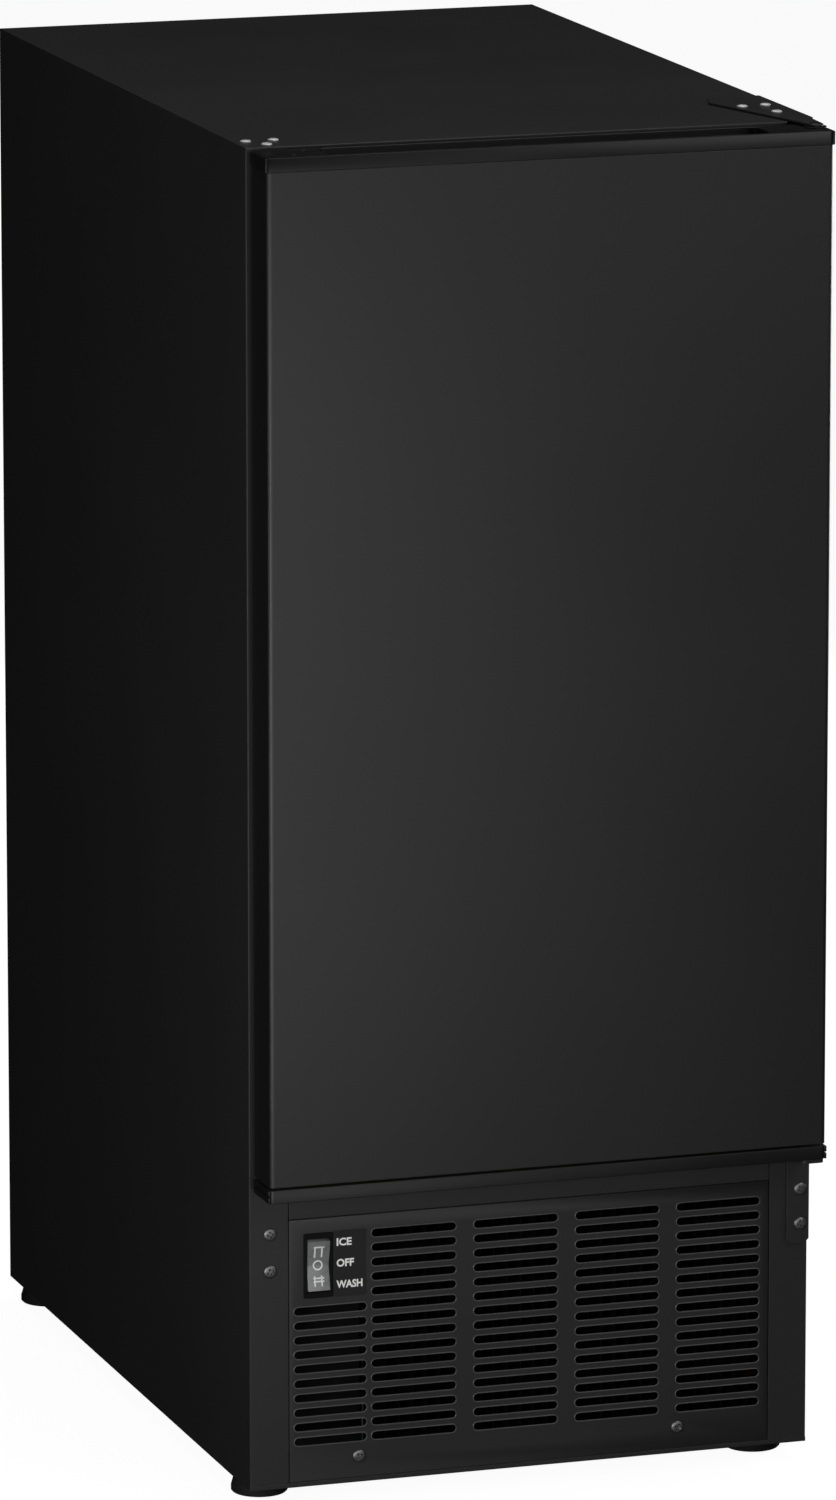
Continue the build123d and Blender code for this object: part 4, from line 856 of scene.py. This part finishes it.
# ---------------------------------------------------------------- top hinge
bracket_back = extent("top_hinge_bracket")[1].y
strap_outline = (
    (half_width - 42.0, bracket_back - 19), (half_width - 35.5, bracket_back),
    (half_width - 1.0, bracket_back), (half_width - 1.0, front_y + 3), (HINGE_X + 4.5, front_y - 3),
    (HINGE_X + 4.5, HINGE_Y - 2.5), (HINGE_X + 2.5, HINGE_Y - 4.5), (HINGE_X - 2.5, HINGE_Y - 4.5),
    (HINGE_X - 4.5, HINGE_Y - 2.5), (HINGE_X - 6.5, front_y - 13),
)
strap = bmesh.new()
strap_rings = stack(
    strap, [[(x, y, z) for x, y in strap_outline] for z in (top_z, top_z + BRACKET_THICKNESS)]
)
rim = [e for e in strap.edges if e.verts[0] in strap_rings[1] and e.verts[1] in strap_rings[1]]
bmesh.ops.bevel(strap, geom=rim, offset=0.5 * MM, segments=3, affect="EDGES", profile=0.5)
new_piece(
    "top_hinge_strap", strap, looks["black_steel"], "cabinet", ["top_hinge_bracket"], 40
)

PIN_RADIUS = 4.0
PIN_DEPTH = 9.0
PIN_CHAMFER = 0.4
pins = bmesh.new()
for base, top in (
    (top_cap_high.z - PIN_DEPTH, top_z + BRACKET_THICKNESS + PIN_CHAMFER),
    (extent("hinge_pins")[0].z, bottom_cap_low.z + PIN_DEPTH),
):
    stack(
        pins,
        [
            [(x, y, height) for x, y in circle(HINGE_X, HINGE_Y, radius, 28)]
            for radius, height in (
                (PIN_RADIUS - PIN_CHAMFER, base), (PIN_RADIUS, base + PIN_CHAMFER),
                (PIN_RADIUS, top - PIN_CHAMFER), (PIN_RADIUS - PIN_CHAMFER, top),
            )
        ],
    )
new_piece("hinge_pin_rods", pins, looks["cap_plastic"], "cabinet", ["hinge_pins"], 30)

# ---------------------------------------------------------------- rear panel louvres
WATER_INLET = (-128, 117)
DRAIN_OUTLET = (-60, 60)
POWER_INLET = (120, 60)
service_low, service_high = extent("rear_service_panel")
LOUVRE_LENGTH, LOUVRE_HEIGHT = 60.0, 4.0
LOUVRE_ROWS, LOUVRE_PITCH = 6, 11
louvre_middle = service_high.z - 60
louvres = [
    (x, louvre_middle + (row - (LOUVRE_ROWS - 1) / 2) * LOUVRE_PITCH, LOUVRE_LENGTH, LOUVRE_HEIGHT)
    for x in (-90, 0, 90)
    for row in range(LOUVRE_ROWS)
]
back = bmesh.new()
louvre_lips = bmesh.new()
pierced_plate(
    back, louvre_lips,
    (service_high.x, (service_high.z - service_low.z) / 2, 0.0, (service_high.z + service_low.z) / 2),
    louvres,
    [
        circle(*WATER_INLET, 13.4, 32),
        circle(*DRAIN_OUTLET, 8.2, 32),
        rounded_rectangle(14.2, 10.2, 0.5, *POWER_INLET),
    ],
    service_high.y, 1, 1.0, 0.5,
)
new_piece("rear_louvre_lips", louvre_lips, looks["zinc_steel"], "cabinet", (), 60)
new_piece(
    "rear_louvred_panel", back, looks["zinc_steel"], "cabinet", ["rear_service_panel"], 50
)

# ---------------------------------------------------------------- floor, light and camera
floor_material = bpy.data.materials.new("studio_floor")
floor_material.use_nodes = True
floor_shader = floor_material.node_tree.nodes["Principled BSDF"]
for key, value in (
    ("Base Color", (0.16, 0.16, 0.16, 1.0)), ("Roughness", 0.9), ("Specular IOR Level", 0.0),
    ("Emission Color", (1.0, 1.0, 1.0, 1.0)), ("Emission Strength", 0.95),
):
    floor_shader.inputs[key].default_value = value
floor_mesh = bpy.data.meshes.new("studio_floor")
floor_size = 40.0
floor_mesh.from_pydata(
    [(-floor_size, -floor_size, 0), (floor_size, -floor_size, 0), (floor_size, floor_size, 0),
     (-floor_size, floor_size, 0)],
    [],
    [(0, 1, 2, 3)],
)
floor = bpy.data.objects.new("studio_floor", floor_mesh)
floor_mesh.materials.append(floor_material)
scene.collection.objects.link(floor)
floor.visible_glossy = False
floor.visible_diffuse = False

# The camera sees a white backdrop, which hardly lights the object.
AMBIENT = 0.004
world = bpy.data.worlds.new("studio")
scene.world = world
world.use_nodes = True
tree = world.node_tree
backdrop = tree.nodes["Background"]
path = add_node(tree, "ShaderNodeLightPath")
glow = spread(tree, path.outputs["Is Camera Ray"], AMBIENT, 1.0, 0.0, 1.0)
tree.links.new(glow, backdrop.inputs["Strength"])
backdrop.inputs["Color"].default_value = (1.0, 1.0, 1.0, 1.0)


def soft_light(name, place, target, width, height, power):
    """A rectangular studio light in metres and watts that the camera doesn't see."""
    data = bpy.data.lights.new(name, "AREA")
    data.shape = "RECTANGLE"
    data.size, data.size_y, data.energy = width, height, power
    lamp = bpy.data.objects.new(name, data)
    scene.collection.objects.link(lamp)
    lamp.location = place
    direction = Vector(target) - Vector(place)
    lamp.rotation_euler = direction.to_track_quat("-Z", "Y").to_euler()
    lamp.visible_camera = False


soft_light("front_key", (-0.1, -1.6, 0.3), (-0.05, -0.29, 0.5), 0.8, 0.8, 3.9)
soft_light("front_right", (1.0, -1.6, 1.3), (0.0, -0.29, 0.6), 0.8, 0.8, 6.7)
soft_light("front_left", (-1.0, -1.2, 0.3), (-0.1, -0.2, 0.4), 0.6, 0.6, 7.5)
soft_light("left_side", (-1.6, -0.3, 1.0), (-0.1, 0.0, 0.5), 1.0, 1.0, 1.6)
soft_light("overhead", (0.1, -0.1, 2.6), (0.0, 0.0, 0.8), 1.6, 1.6, 18.8)
soft_light("right_side", (1.9, 0.9, 0.55), (0.2, 0.1, 0.45), 1.0, 0.5, 14.0)
soft_light("rear", (0.55, 2.3, 0.5), (0.1, 0.3, 0.45), 0.8, 0.6, 9.0)

camera_data = bpy.data.cameras.new("camera")
camera_data.lens, camera_data.sensor_width = 244.57, 36.0
camera_data.clip_start, camera_data.clip_end = 0.1, 200.0
camera = bpy.data.objects.new("camera", camera_data)
scene.collection.objects.link(camera)
camera.location = (-2.0031, -6.1342, 1.8082)
camera.rotation_euler = (math.radians(90 - 12.103), 0.0, math.radians(-18.16))
scene.camera = camera

scene.view_settings.view_transform = "Standard"
